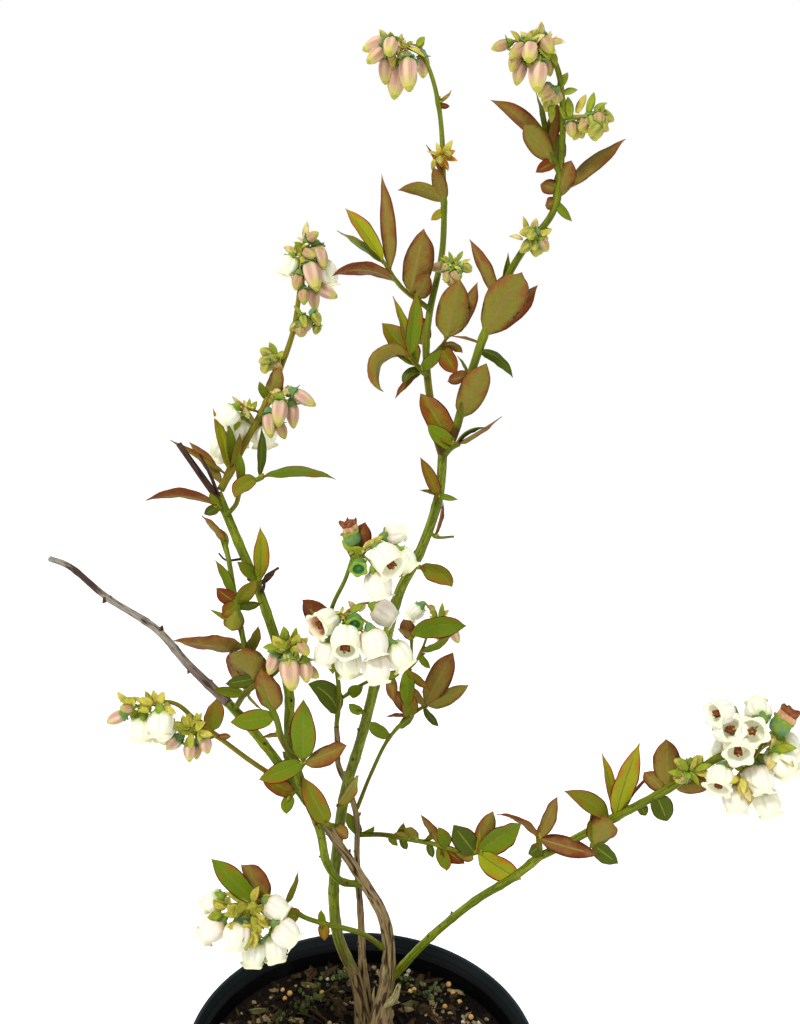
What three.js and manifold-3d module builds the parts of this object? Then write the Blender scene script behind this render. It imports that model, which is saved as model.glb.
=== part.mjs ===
// A young blueberry bush in flower, in a round black nursery pot.
// Millimetres, +Z up. The origin is the middle of the pot's flat underside, and -Y is the bush's front.
//
// The pot is filled with soil. A crown of old wood stands on the soil, the canes rise from it, and each
// leafy or flowering shoot is one solid that starts 0.3 mm clear of the limb that carries it.
import * as THREE from 'three';
import { mergeVertices } from 'three/addons/utils/BufferGeometryUtils.js';
import Module from 'manifold-3d';

const wasm = await Module();
wasm.setup();

// ---------------------------------------------------------------- driving dimensions

const POT_HEIGHT = 160;
const RIM_RADIUS = 80; // outside of the collar, at its top
const COLLAR_HEIGHT = 14;
const COLLAR_STEP = 4; // how far the collar stands out from the wall below it
const LEDGE_DROP = 6.5; // the step inside the rim, below its top
const WALL = 1.6;
const FOOT_RADIUS = 60;
const FLOOR = 3;
const POT_SIDES = 32;
const DRAIN_HOLES = 6;
const DRAIN_RADIUS = 4;
const DRAIN_HEIGHT = 8;

const SOIL_TOP = 148; // the ground that the crown stands on
const SOIL_EDGE = 145.5; // the soil's height where it meets the wall
const SOIL_FLAT_RADIUS = 34; // the level ground round the crown

const GAP = 0.3; // between neighbouring solids
const LIMB_SIDES = 7;
const LIMB_STEP = 13; // length of one faceted stretch of a limb
const TWIG_SIDES = 3;
const TWIG_STEP = 13;
const TWIG_FULLNESS = 1.2; // makes a three-sided twig look as thick as a round one
const STALK_RADIUS = 0.55; // stalks of blossoms
const ROOT_DEPTH = 0.8; // how far a leaf's root is sunk in its twig
const LEAF_THINNESS = 60; // a leaf's length over its thickness
const LEAF_FOLD = 0.14; // how far the edges rise from the midrib, over the leaf's width
const LEAF_DROOP = 0.08; // how far the tip bends back, over the leaf's length
const TOUCH = 0.02; // a leaf that shares more than this volume, in mm3, with a neighbour is left off
const SMOOTHING = 0.06; // facets smaller than this are merged where pieces are fused

// Blossoms, from the calyx (0) to the mouth or tip (1): the widest place, the girth there and at the end, over
// the length.
const BLOSSOMS = {
  bell: { belly: 0.42, girth: 1.04, mouth: 0.6, sides: 6 },
  bud: { belly: 0.42, girth: 0.56, mouth: 0.1, sides: 4 },
  berry: { belly: 0.5, girth: 1, mouth: 0.6, sides: 6 },
  husk: { belly: 0.3, girth: 0.66, mouth: 0.82, sides: 6 },
};

const COLOURS = {
  pot: { color: 0x17181a, roughness: 0.55 },
  soil: { color: 0x2b211a, roughness: 0.95 },
  oldWood: { color: 0x85725d, roughness: 0.9 },
  deadWood: { color: 0x8a8078, roughness: 0.9 },
  greenBark: { color: 0x7d8a36, roughness: 0.6 },
  foliage: { color: 0x7f8a3c, roughness: 0.55 },
};

// ---------------------------------------------------------------- the plan of the plant
//
// A limb is { path, girths, stubs }: the bends it passes, its radii from foot to tip, and short stumps or
// forks that grow from it, each written as a limb.
// A shoot is a limb, too, with twigs, leaves and trusses. Directions are angles in degrees: "lean" is to
// the right of upright, seen from the front, and "reach" is how far it points to the back (+) or front (-).
// A leaf is [place along its stem 0..1, lean, reach, length, width, roll]. Roll 0 shows its upper face in
// front, and 180 its underside.
// A truss is [hub, stalk from place, blossoms], and a blossom is
// [kind, right, back, up of the hub, lean, reach, length].

const LIMBS = {
  trunk: {
    bark: 'oldWood',
    path: [[7, 20, 146], [8, 19, 165], [10, 17, 186], [7, 13, 213], [-3, 6, 236], [-10, 1, 250], [-23, -6, 274]],
    girths: [8.6, 5.6, 3.5, 3, 2.8, 2.4, 2.1],
    stubs: [
      { path: [[1, 23, 146], [-0.8, 24, 165], [-2.8, 24.8, 184]], girths: [5.6, 3.8, 2.1] },
      { path: [[0, 21, 146], [-2.8, 20.5, 166], [-6.5, 19.3, 181]], girths: [5.6, 4.4, 3.1] },
      { path: [[8, 17, 168], [11, 12, 175], [14, 8, 182]], girths: [2.8, 2.4, 2.2] },
    ],
  },
  low_left_bough: {
    bark: 'greenBark',
    seat: 'trunk',
    path: [[-23, -6, 274], [-29, -7, 282], [-36, -8, 292], [-48, -8, 308], [-55, -6, 315], [-63, -3, 322]],
    girths: [2.1, 1.9],
  },
  dead_branch: {
    bark: 'deadWood',
    seat: 'low_left_bough',
    path: [[-63, -3, 322], [-82, 9, 333], [-99, 20, 345], [-126, 34, 355], [-145, 42, 366], [-155, 46, 368]],
    girths: [1.9, 1],
  },
  left_cane: {
    bark: 'greenBark',
    seat: 'trunk',
    path: [
      [-3, 6, 235], [-13, -3, 242], [-19, -9, 254], [-22, -13, 271], [-32, -17, 300], [-36, -13, 315],
      [-37, -9, 331], [-50, 0, 367], [-61, 6, 389], [-71, 11, 409],
    ],
    girths: [2.1, 1.9],
    stubs: [
      { path: [[-69, 10, 405], [-75, 9, 413], [-85, 2, 430]], girths: [1.6, 1.2] },
      { path: [[-70, 10, 407], [-72.5, 6, 416], [-77, 4, 426]], girths: [0.9, 0.5] },
    ],
  },
  main_cane: {
    bark: 'greenBark',
    seat: 'trunk',
    path: [
      [-6.2, 19.4, 180], [-14, 19, 198], [-17, 18, 220], [-16, 15, 248], [-13, 10, 278], [-7, 7, 304],
      [2, 5, 350], [7, 6, 372], [14, 8, 387], [21, 10, 411], [22, 11, 433],
    ],
    girths: [2.7, 2.1],
    stubs: [
      { path: [[22, 11, 430], [19, 12.5, 438], [17, 14, 445]], girths: [2.3, 1.8] },
      { path: [[22, 11, 430], [25, 8, 436], [27, 5, 443]], girths: [2.3, 1.8] },
    ],
  },
  brown_stem: {
    bark: 'oldWood',
    seat: 'trunk',
    path: [
      [-2.8, 24.8, 183], [-4, 25, 202], [-7, 24, 235], [-8, 22.5, 258], [-11, 21, 270], [-17, 17, 287],
      [-17.5, 13, 299], [-18, 10, 308],
    ],
    girths: [1.7, 1.2],
  },
  right_cane: {
    bark: 'greenBark',
    seat: 'trunk',
    path: [[10, 18, 177], [13, 17, 182], [25, 12, 202], [35, 7, 217], [48, 1, 234], [62, -5, 249], [73, -9, 263]],
    girths: [2.2, 1.8],
  },
};

const SHOOTS = {
  top_left_shoot: {
    seat: 'main_cane',
    path: [
      [17.2, 13.8, 444], [14, 18, 462], [13, 22, 476], [14, 25, 488], [18, 31, 513], [17, 37, 543], [14, 42, 570],
      [9, 44, 586], [5, 45, 592], [-3, 45, 595],
    ],
    girths: [1.7, 0.8],
    leaves: [
      [0.02, -35, -20, 13, 7, 160], [0.03, -95, -50, 7, 5, 0], [0.08, 15, -40, 21, 8, 40], [0.13, 75, -30, 9, 4, 35],
      [0.2, -30, -30, 10, 7, 160], [0.55, -65, 10, 20, 7, 145], [0.56, -15, -10, 14, 6, 170],
    ],
    twigs: [
      {
        path: [[14, 25, 488], [8, 20, 492], [2, 17, 496], [-6, 14, 506]],
        leaves: [
          [0.36, 5, -10, 27, 11, 170], [0.34, 35, -35, 11, 8, 0], [0.63, -85, -5, 28, 9, 65],
          [0.76, -10, 10, 38, 12, 125], [0.98, -35, 5, 26, 9, 50], [0.94, -50, 25, 28, 9, 65],
        ],
      },
      {
        path: [[14, 18, 461], [10, 12, 465], [6, 8, 469]],
        leaves: [
          [0.97, -10, 10, 24, 8, 60], [0.95, 5, -10, 21, 8, 45], [0.84, -40, 15, 19, 8, 170],
          [0.98, -100, -15, 13, 5, 180], [0.7, -155, -30, 13, 6, 30], [0.55, -145, 0, 16, 5, 60],
        ],
      },
      {
        path: [[14, 20, 468], [19, 14, 473], [21, 12, 477]],
        leaves: [[0.96, 10, -10, 20, 10, 170], [0.96, 30, 15, 26, 9, 130], [0.62, 100, -30, 8, 3, 15]],
      },
    ],
    trusses: [
      {
        hub: [-3, 45, 595],
        from: 0.98,
        blossoms: [
          ['bud', -7, -2, 1, -115, 0, 10], ['bud', -8, -3, -3, -140, -30, 10], ['bud', -4, -6, 0, -175, -45, 11],
          ['bud', -6, 2, -5, 180, -10, 11], ['bud', -1, 3, -7, -175, 0, 14], ['bud', 3, -3, -6, 175, -20, 15],
          ['bud', 9, 2, -3, 175, 20, 9],
        ],
      },
      {
        hub: [16, 35, 550],
        from: 0.69,
        blossoms: [['bud', -1, -2, 0, -70, -20, 6], ['bud', 0, -2, -1, -170, -30, 6], ['bud', 1, -2, 1, 60, -10, 6]],
      },
      {
        hub: [22, 21, 506],
        from: 0.38,
        blossoms: [
          ['bud', -2, -2, -4, -170, 0, 8], ['bud', 2, -3, -4, 180, -20, 8], ['bud', 5, 0, 0, 110, 0, 7],
          ['bud', 4, 1, -2, 155, -10, 7], ['bud', -3, 1, 0, -140, 10, 6],
        ],
      },
    ],
  },
  top_right_shoot: {
    seat: 'main_cane',
    path: [
      [26.8, 5.2, 442], [31, -4, 465], [35, -10, 481], [41, -16, 500], [46, -19, 510], [55, -24, 523], [56, -27, 534],
      [55, -33, 552], [52, -37, 566], [47, -40, 574],
    ],
    girths: [1.8, 0.9],
    leaves: [
      [0.02, 70, -10, 19, 7, 55], [0.03, 135, -25, 8, 4, 0], [0.04, 20, -20, 26, 10, 170],
      [0.25, -65, 10, 11, 5, 60], [0.26, 140, -30, 17, 6, 35], [0.28, 25, -15, 27, 13, 5],
      [0.31, 55, 20, 24, 8, 130], [0.37, -20, 15, 21, 8, 130], [0.41, 10, 20, 12, 5, 45],
      [0.65, 135, -20, 10, 4, 30], [0.66, 50, -15, 26, 9, -50], [0.68, 25, -35, 11, 8, 170],
      [0.67, -90, -20, 6, 4, 170],
    ],
    twigs: [
      {
        path: [[57, -27, 535], [53, -30, 540], [50, -31, 544]],
        leaves: [
          [0.6, -60, -20, 29, 10, 125], [0.55, -60, -45, 14, 8, 170], [0.95, 15, 15, 16, 6, 50],
          [0.98, -5, 10, 16, 5, 50],
        ],
      },
    ],
    trusses: [
      {
        hub: [45, -40, 574],
        from: 0.99,
        blossoms: [
          ['bud', -11, -1, 0, -110, 0, 6], ['bud', -6, -3, -1, -135, -20, 7], ['bud', -3, 2, 0, 175, -10, 8],
          ['bud', -6, 0, -5, -170, 0, 8], ['bud', -1, -3, -6, 180, -20, 11], ['bud', 2, 3, -2, 160, 10, 7],
        ],
      },
      {
        hub: [50, -36, 561],
        from: 0.9,
        blossoms: [['bud', -1, -2, 1, -130, -20, 6], ['bud', -1, 1, -2, -175, 10, 6], ['bud', 3, 0, 0, 130, 0, 5]],
      },
      {
        hub: [66, -34, 554],
        from: 0.84,
        blossoms: [
          ['bud', -7, 2, -4, -170, 0, 6], ['bud', -4, -2, -2, 175, 0, 7], ['bud', -1, 2, -6, 175, -20, 6],
          ['bud', 2, -2, -2, 175, -10, 7], ['bud', 4, 1, 0, 130, 0, 5],
        ],
      },
      {
        hub: [49, -23, 514],
        from: 0.53,
        blossoms: [
          ['bud', -1, -3, 1, -105, -20, 7], ['bud', 1, 2, 1, 65, 0, 6], ['bud', -1, -1, -1, -160, -30, 6],
          ['bud', 3, -2, -1, 130, 0, 5],
        ],
      },
    ],
  },
  left_shoot: {
    seat: 'left_cane',
    path: [[-70, 11.5, 410], [-63, 15, 425], [-53, 19, 446], [-43, 24, 475], [-41, 26, 489], [-40, 29, 507]],
    girths: [1.7, 0.9],
    leaves: [
      [0.03, 45, -20, 8, 4, 170], [0.07, -10, -5, 26, 8, 50], [0.08, 5, -30, 24, 8, 60], [0.07, 5, 10, 15, 5, 45],
      [0.06, -60, 10, 27, 8, 70], [0.04, -40, 25, 19, 6, 140], [0.4, 20, -15, 15, 6, 170],
    ],
    trusses: [
      {
        hub: [-40, 29, 508],
        from: 0.99,
        blossoms: [
          ['bell', -5, 0, -2, -160, -10, 8], ['bud', 2, -3, 5, 35, 0, 7], ['bud', 6, 0, 4, 160, -15, 10],
          ['bell', 6, -4, -5, 150, -20, 11], ['bud', 3, 4, -8, 155, 20, 12], ['bud', -3, -3, 2, -115, 0, 8],
        ],
      },
      {
        hub: [-41, 25, 481],
        from: 0.73,
        blossoms: [
          ['bud', 3, -3, -4, 180, 0, 7], ['bud', 6, 0, -2, 175, -20, 8], ['bud', 9, 2, 0, 170, 0, 8],
          ['bud', 9, -2, 4, 130, 0, 7],
        ],
      },
      {
        hub: [-49, 20, 465],
        from: 0.52,
        blossoms: [['bud', -3, -2, 1, -100, 0, 9], ['bud', -4, 1, -2, -170, -10, 8], ['bud', -4, -4, -1, -140, -40, 7]],
      },
      {
        hub: [-46, 17, 451],
        from: 0.42,
        blossoms: [
          ['bud', 5, 0, 1, 120, 0, 11], ['bud', 0, -4, -2, 180, -20, 12], ['bud', 4, 3, -4, 175, 5, 11],
          ['bud', -5, -2, -8, 170, -20, 11], ['bud', 0, -4, -12, 160, 0, 7],
        ],
      },
      {
        hub: [-60, 14, 444],
        from: 0.3,
        blossoms: [
          ['bell', -4, -4, 1, -130, -15, 10], ['bell', -2, 6, -4, -165, 10, 12], ['bell', 5, 8, -5, 175, 20, 12],
          ['bell', -8, 4, -12, -155, 10, 11],
        ],
      },
    ],
  },
  centre_twig: {
    seat: 'brown_stem',
    path: [[-18, 10, 308.5], [-17, 5, 324], [-18, -2, 339], [-20, -22, 369], [-14, -30, 386], [-11, -35, 397]],
    girths: [1.1, 0.8],
    leaves: [
      [0.06, -30, -20, 20, 9, 165], [0.59, -30, 10, 14, 9, 170], [0.52, 175, -15, 14, 6, 0],
      [0.97, 30, 10, 15, 6, 170],
    ],
    twigs: [
      {
        path: [[-17, 6, 322], [-7, 16, 326], [3, 24, 328], [14, 30, 330], [18, 33, 336], [21, 36, 345]],
        leaves: [
          [0.43, 80, -10, 8, 4, 0], [0.5, 170, -10, 13, 6, 170], [0.64, 125, -30, 14, 5, 20],
          [0.66, 180, -25, 18, 8, 10], [0.8, 140, -10, 8, 4, 0], [0.83, 60, -15, 16, 6, 30],
        ],
      },
      {
        path: [[14, 30, 330], [13.5, 29, 338], [13, 27, 346]],
        leaves: [[0.95, 75, -10, 25, 10, 0], [1, -20, 5, 11, 5, 170], [0.9, -65, -30, 8, 6, 170]],
      },
    ],
    trusses: [
      {
        hub: [-15, -26, 370],
        from: 0.68,
        blossoms: [
          ['bell', 2, -6, -4, 175, -45, 11.5], ['bell', 11, -7, -3, 160, -20, 11], ['bell', 19, -2, -10, 145, -5, 11],
          ['bell', 13, -5, -14, 165, -25, 11], ['bell', 2, 2, -15, 170, 0, 10.5], ['bell', -4, -2, -10, -160, -10, 9.5],
          ['bell', 12, 4, 3, 120, -10, 10], ['husk', -3, 1, -1, -110, -15, 11], ['berry', 5, -4, 1, 170, -70, 6],
        ],
      },
      {
        hub: [-9, -36, 397],
        from: 0.99,
        blossoms: [
          ['husk', -2, 2, 3, -20, -5, 11], ['berry', 0, -3, -2, 170, -70, 6], ['bell', 7, -3, 3, 130, -40, 11],
          ['bell', 6, -1, -6, 160, -10, 10.5], ['bell', 14, 5, 1, 140, 0, 9], ['bell', 9, 6, 6, 80, 20, 8],
        ],
      },
      {
        hub: [24, 36, 349],
        from: 0.68,
        stalkFrom: [21, 36, 345],
        blossoms: [['bud', 3, 1, -3, 175, 0, 8], ['bud', 7, -1, -2, 150, 0, 8], ['bell', -7, 3, 7, -140, 0, 8]],
      },
    ],
  },
  back_twig: {
    seat: 'brown_stem',
    path: [[-8, 22, 263], [-2, 27, 279], [5, 33, 293], [13, 38, 301], [22, 44, 306]],
    girths: [1, 0.8],
    leaves: [
      [0.59, -45, -15, 14, 5, 0], [0.82, -80, -10, 11, 5, 140], [0.97, -35, 10, 9, 4, 170], [0.98, 20, -5, 31, 11, 160],
      [0.99, 60, -10, 24, 9, 140], [0.96, 145, -10, 12, 5, 50], [0.94, -70, -10, 7, 3, 170], [0.7, 60, 40, 13, 6, 20],
    ],
  },
  right_low_twig: {
    seat: 'brown_stem',
    path: [[-7, 23.5, 249], [4, 23, 250], [16, 22, 249], [30, 18, 249], [44, 12, 249], [48, 9, 252]],
    girths: [1.2, 0.9],
    leaves: [
      [0.08, 65, -20, 9, 4, 40], [0.28, 60, -20, 7, 3, 170], [0.41, -20, 0, 10, 4, 155], [0.42, 15, -20, 10, 5, 0],
      [0.65, -30, 10, 18, 6, 145], [0.65, 145, -10, 12, 5, 0], [0.67, 110, -15, 12, 8, 170], [0.69, 55, -20, 17, 8, 0],
      [0.98, 45, -15, 22, 12, 0], [0.98, 20, 15, 17, 7, 170], [0.95, 125, -10, 21, 9, 0],
    ],
  },
  right_cane_end: {
    seat: 'right_cane',
    path: [
      [71, -8, 260.5], [80, -11, 268], [97, -19, 285], [112, -26, 300], [124, -32, 313], [135, -38, 325],
      [141, -41, 324],
    ],
    girths: [1.8, 1.5],
    leaves: [
      [0.38, -55, -15, 23, 8, 145], [0.38, 5, -10, 36, 14, 45], [0.38, 0, 10, 24, 9, 60], [0.39, 35, 10, 19, 6, 50],
      [0.46, -15, -30, 8, 4, 15], [0.48, 45, -40, 7, 4, 0], [0.61, 155, -30, 12, 8, 0], [0.64, 10, 5, 19, 11, 175],
      [0.63, -25, 20, 10, 7, 175], [0.64, 30, -30, 11, 5, 20], [0.65, 60, -15, 17, 6, 160],
    ],
    twigs: [
      {
        path: [[72, -8.5, 262], [71, -11, 267], [70, -12, 272]],
        leaves: [
          [0.97, -60, 10, 16, 6, 140], [0.95, 20, -5, 22, 8, 130], [0.9, 80, -25, 22, 8, 150],
          [0.5, -95, -30, 7, 5, 0], [0.98, 20, 15, 8, 4, 170],
        ],
      },
      {
        path: [[94, -17.5, 282], [91.5, -19, 273]],
        leaves: [[0.95, 5, -20, 20, 8, 0], [0.95, -5, 0, 16, 6, 50], [0.9, 115, -25, 11, 5, 0]],
      },
    ],
    trusses: [
      {
        hub: [122, -35, 317],
        from: 0.76,
        blossoms: [['bud', -2, -2, 1, -60, -10, 6], ['bud', -2, -2, -2, -105, -20, 6], ['bud', 2, 2, 2, 60, -10, 6]],
      },
      {
        hub: [143, -41, 323],
        from: 0.99,
        blossoms: [
          ['bell', -8, 2, 20, -60, -10, 10], ['bell', -3, -2, 13, -50, -35, 11], ['bell', 4, -4, 12, -50, -35, 11],
          ['bell', -2, -6, 8, -115, -50, 11], ['bell', -9, -3, -4, -155, -20, 10], ['bell', 4, 0, -2, 160, -5, 11],
          ['bell', -2, 4, -10, -175, -10, 11], ['bell', 9, 4, -11, 160, 0, 11], ['bell', 10, -2, 7, 150, 0, 11],
          ['bell', 12, 5, 9, 135, 15, 11], ['husk', 9, 4, 16, 25, 0, 10], ['berry', 10, -5, 9, -60, -70, 7],
          ['berry', 2, 4, 20, -20, -20, 6], ['bell', 3, 9, 20, 20, 35, 8], ['bell', 3, 9, 2, 165, 30, 10],
        ],
      },
    ],
  },
  low_left_twig: {
    seat: 'trunk',
    path: [[7, 14, 198], [-4, 3, 213], [-20, -6, 223], [-27, -10, 228], [-35, -14, 235], [-48, -18, 239]],
    girths: [1.3, 0.9],
    leaves: [
      [0.54, 175, -25, 7, 5, 170], [0.55, -5, -20, 6, 3, 0], [0.76, -35, -25, 14, 6, 0], [0.8, 20, 10, 17, 6, 45],
      [0.96, 0, -10, 21, 10, 170], [0.98, -45, 5, 27, 9, 40], [0.95, -20, 40, 16, 7, 20],
    ],
    trusses: [
      {
        hub: [-49, -19, 239],
        from: 0.99,
        blossoms: [
          ['bell', -12, -3, -5, -135, -10, 11], ['bell', -14, 5, 0, -130, 10, 9], ['bell', -5, -6, -6, 180, -20, 12],
          ['bell', 11, -5, -5, 125, -15, 11.5], ['bell', 6, 4, 3, 110, 0, 10], ['bell', 3, -3, -17, 180, -10, 11],
          ['bell', 9, 2, -15, 165, -5, 12], ['bell', -3, 6, -10, -175, 15, 12],
        ],
      },
    ],
  },
  far_left_twig: {
    seat: 'low_left_bough',
    path: [[-34, -8, 288], [-46, -14, 298], [-59, -22, 312], [-71, -30, 326], [-78, -34, 334], [-87, -38, 336]],
    girths: [1.2, 0.8],
    leaves: [[0.56, 70, -30, 8, 3, 150], [0.57, 5, -5, 15, 6, 0], [0.58, -95, -20, 5, 3, 0], [0.64, -55, -20, 11, 5, 45]],
    trusses: [
      {
        hub: [-87, -38, 335],
        from: 0.99,
        blossoms: [
          ['bell', 5, -3, -2, 175, -15, 11], ['bell', -2, 0, -6, -175, -5, 11], ['bell', 6, 4, -9, -165, 10, 9],
          ['bud', -8, -1, -4, -125, 0, 10], ['bud', -4, 2, 1, -75, 0, 7], ['bud', -4, -4, -2, -80, -20, 7],
        ],
      },
      {
        hub: [-72, -33, 323],
        from: 0.78,
        blossoms: [
          ['bud', -4, -1, -4, -130, 0, 8], ['bud', -2, -3, -5, 175, -15, 9], ['bud', 0, 1, -7, 180, 0, 8],
          ['bud', 3, -1, -3, 170, 0, 9],
        ],
      },
    ],
  },
  low_bough_spray: {
    seat: 'low_left_bough',
    path: [[-33, -7.6, 287], [-35, -12, 286]],
    girths: [1.1, 0.9],
    leaves: [[0.9, -30, -20, 22, 8, 0], [0.9, -155, -40, 9, 5, 0]],
  },
  pink_twig: {
    seat: 'low_left_bough',
    path: [[-60, -4, 320], [-54, -12, 331], [-46, -18, 339], [-41, -22, 344], [-36, -28, 354]],
    girths: [1.3, 0.9],
    leaves: [
      [0.27, -80, -10, 13, 5, 25], [0.31, -10, -25, 27, 11, 175], [0.38, 25, 10, 10, 5, 170], [0.3, 135, -20, 10, 4, 45],
    ],
    trusses: [
      {
        hub: [-35, -29, 357],
        from: 0.98,
        blossoms: [
          ['bud', 0, -3, -3, 170, -15, 13], ['bud', 6, 0, -5, 170, -10, 9], ['bud', -5, 0, -2, -165, 0, 10],
          ['bud', 1, 3, -10, 175, 0, 9], ['bud', 4, -3, 3, 125, -40, 7], ['bud', 6, 3, -9, 125, 0, 7],
        ],
      },
    ],
  },
  leafy_left_stem: {
    seat: 'left_cane',
    path: [
      [-32, -17.5, 303], [-38, -22, 316], [-40, -24, 325], [-51, -24, 348], [-58, -16, 370], [-64, -5, 388],
      [-68, -1, 396],
    ],
    girths: [1.3, 1],
    leaves: [
      [0.16, -105, 10, 8, 3, 165], [0.24, -90, -25, 17, 6, 25], [0.26, -25, -5, 20, 11, 170], [0.5, 20, 0, 11, 5, 25],
      [0.53, -80, -5, 28, 10, 135], [0.58, -55, 20, 18, 6, 60], [0.68, 175, -60, 10, 10, 170], [0.67, 70, 10, 8, 4, 20],
      [0.68, -50, -20, 10, 5, 170], [0.69, 45, -10, 12, 5, 0], [0.72, -25, 0, 16, 6, 50], [0.92, -10, 0, 8, 4, 40],
      [0.96, -35, -20, 19, 7, 135],
    ],
  },
  left_cane_twig: {
    seat: 'left_cane',
    path: [[-67, 8, 400], [-62, 4, 406], [-59, 0, 414], [-50, -4, 419]],
    girths: [1.1, 0.8],
    leaves: [
      [0.62, 10, -15, 18, 6, 55], [0.66, 75, -20, 11, 6, 0], [0.98, 15, -20, 20, 7, 50], [0.98, 90, -5, 28, 9, 65],
    ],
  },
  left_cane_top_spray: {
    seat: 'left_cane',
    path: [[-67, 9, 401], [-71, 7, 400]],
    girths: [1, 0.8],
    leaves: [[0.9, -75, -15, 28, 10, 120], [0.9, -110, -35, 9, 4, 0], [0.8, -80, 50, 12, 6, 0]],
  },
  left_cane_mid_spray: {
    seat: 'left_cane',
    path: [[-52, 1, 369], [-50.5, -4, 376]],
    girths: [1, 0.8],
    leaves: [[0.9, 5, -15, 22, 9, 25], [0.9, -25, -25, 15, 6, 45], [0.7, 45, -20, 11, 3, 20]],
  },
  left_cane_low_spray: {
    seat: 'left_cane',
    path: [[-31, -17, 300], [-29, -22, 306]],
    girths: [1.1, 0.9],
    leaves: [
      [0.9, 5, -10, 30, 12, 15], [0.9, 65, -15, 22, 8, 130], [0.8, -105, -30, 17, 6, 35], [0.7, -80, 10, 8, 4, 0],
    ],
  },
  trunk_tip_spray: {
    seat: 'trunk',
    path: [[-19, -4, 268], [-16, -12, 273], [-19, -19, 278]],
    girths: [1.1, 0.9],
    leaves: [[0.97, -30, -5, 24, 9, 0], [0.6, 100, -40, 10, 6, 170]],
  },
  main_cane_top_spray: {
    seat: 'main_cane',
    path: [[22, 10, 414], [20.5, 5, 413]],
    girths: [1, 0.8],
    leaves: [[0.9, -25, -10, 18, 6, 20], [0.8, -70, -20, 9, 3, 150], [0.8, 95, -30, 9, 3, 0]],
  },
  main_cane_twig: {
    seat: 'main_cane',
    path: [[17.5, 9, 398], [21, 4, 396], [28, 2, 397]],
    girths: [0.8, 0.5],
    leaves: [[0.4, 15, -5, 15, 5, 60]],
  },
  main_cane_leaf: {
    seat: 'main_cane',
    path: [[13, 7, 383], [15, 3, 383]],
    girths: [0.9, 0.7],
    leaves: [[0.9, 110, 5, 15, 7, 30], [0.7, -110, -20, 10, 6, 140]],
  },
  main_cane_low_leaf: {
    seat: 'main_cane',
    path: [[-4.5, 6.5, 317], [-7, 2.5, 318]],
    girths: [0.8, 0.6],
    leaves: [[0.9, -50, -20, 8, 5, 0]],
  },
  main_cane_foot_leaf: {
    seat: 'main_cane',
    path: [[-13.5, 10.5, 273], [-16, 5, 273]],
    girths: [0.9, 0.7],
    leaves: [[0.9, 30, -20, 23, 8, 130]],
  },
};

// ---------------------------------------------------------------- solids and booleans

const { Manifold } = wasm;

// A closed geometry as a solid for cutting and joining.
function solidOf(geometry) {
  geometry.deleteAttribute('normal');
  geometry.deleteAttribute('uv');
  const merged = mergeVertices(geometry, 1e-4);
  const triangles = [];
  for (let i = 0; i < merged.index.count; i += 3) {
    const [a, b, c] = merged.index.array.slice(i, i + 3);
    if (a !== b && b !== c && c !== a) triangles.push(a, b, c);
  }
  const vertProperties = new Float32Array(merged.attributes.position.array);
  return new Manifold(new wasm.Mesh({ numProp: 3, vertProperties, triVerts: new Uint32Array(triangles) }));
}

// The largest closed body of a solid, so that loose scraps are dropped and sealed hollows are filled.
function mainBody(solid) {
  return solid.decompose().reduce((best, body) => (body.volume() > best.volume() ? body : best));
}

function join(solids) {
  return Manifold.union(solids);
}

function meshOf(name, solid, look) {
  const { vertProperties, triVerts } = solid.getMesh();
  const geometry = new THREE.BufferGeometry();
  geometry.setAttribute('position', new THREE.BufferAttribute(vertProperties, 3));
  geometry.setIndex(new THREE.BufferAttribute(triVerts, 1));
  const material = new THREE.MeshStandardMaterial({ ...COLOURS[look], metalness: 0, flatShading: true });
  material.name = look;
  const mesh = new THREE.Mesh(geometry, material);
  mesh.name = name;
  return mesh;
}

// ---------------------------------------------------------------- shapes

const vector = ([x, y, z]) => new THREE.Vector3(x, y, z);

// The direction that leans and reaches by these angles, in degrees.
function direction(lean, reach) {
  const [a, b] = [lean, reach].map(THREE.MathUtils.degToRad);
  return new THREE.Vector3(Math.sin(a) * Math.cos(b), Math.sin(b), Math.cos(a) * Math.cos(b));
}

// The value at place t (0..1) of a list that is spread evenly from foot to tip.
function along(values, t) {
  const place = t * (values.length - 1);
  const i = Math.min(Math.floor(place), values.length - 2);
  return THREE.MathUtils.lerp(values[i], values[i + 1], place - i);
}

// A closed tube whose rings stand square to the path through these points.
function sweep(points, radii, sides) {
  const last = points.length - 1;
  const tangent = points[1].clone().sub(points[0]).normalize();
  const across = new THREE.Vector3(0, -1, 0.3).cross(tangent).normalize();
  const geometry = new THREE.CylinderGeometry(1, 1, 1, sides, last);
  const frames = points.map((point, i) => {
    const next = points[Math.min(i + 1, last)].clone().sub(points[Math.max(i - 1, 0)]).normalize();
    across.applyQuaternion(new THREE.Quaternion().setFromUnitVectors(tangent, next));
    tangent.copy(next);
    return { point, across: across.clone(), up: tangent.clone().cross(across), radius: radii[i] };
  });
  const position = geometry.attributes.position;
  for (let i = 0; i < position.count; i++) {
    const { point, across: right, up, radius } = frames[Math.round((0.5 - position.getY(i)) * last)];
    const corner = point.clone();
    corner.addScaledVector(right, radius * position.getX(i)).addScaledVector(up, radius * position.getZ(i));
    position.setXYZ(i, corner.x, corner.y, corner.z);
  }
  return solidOf(geometry);
}

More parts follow.
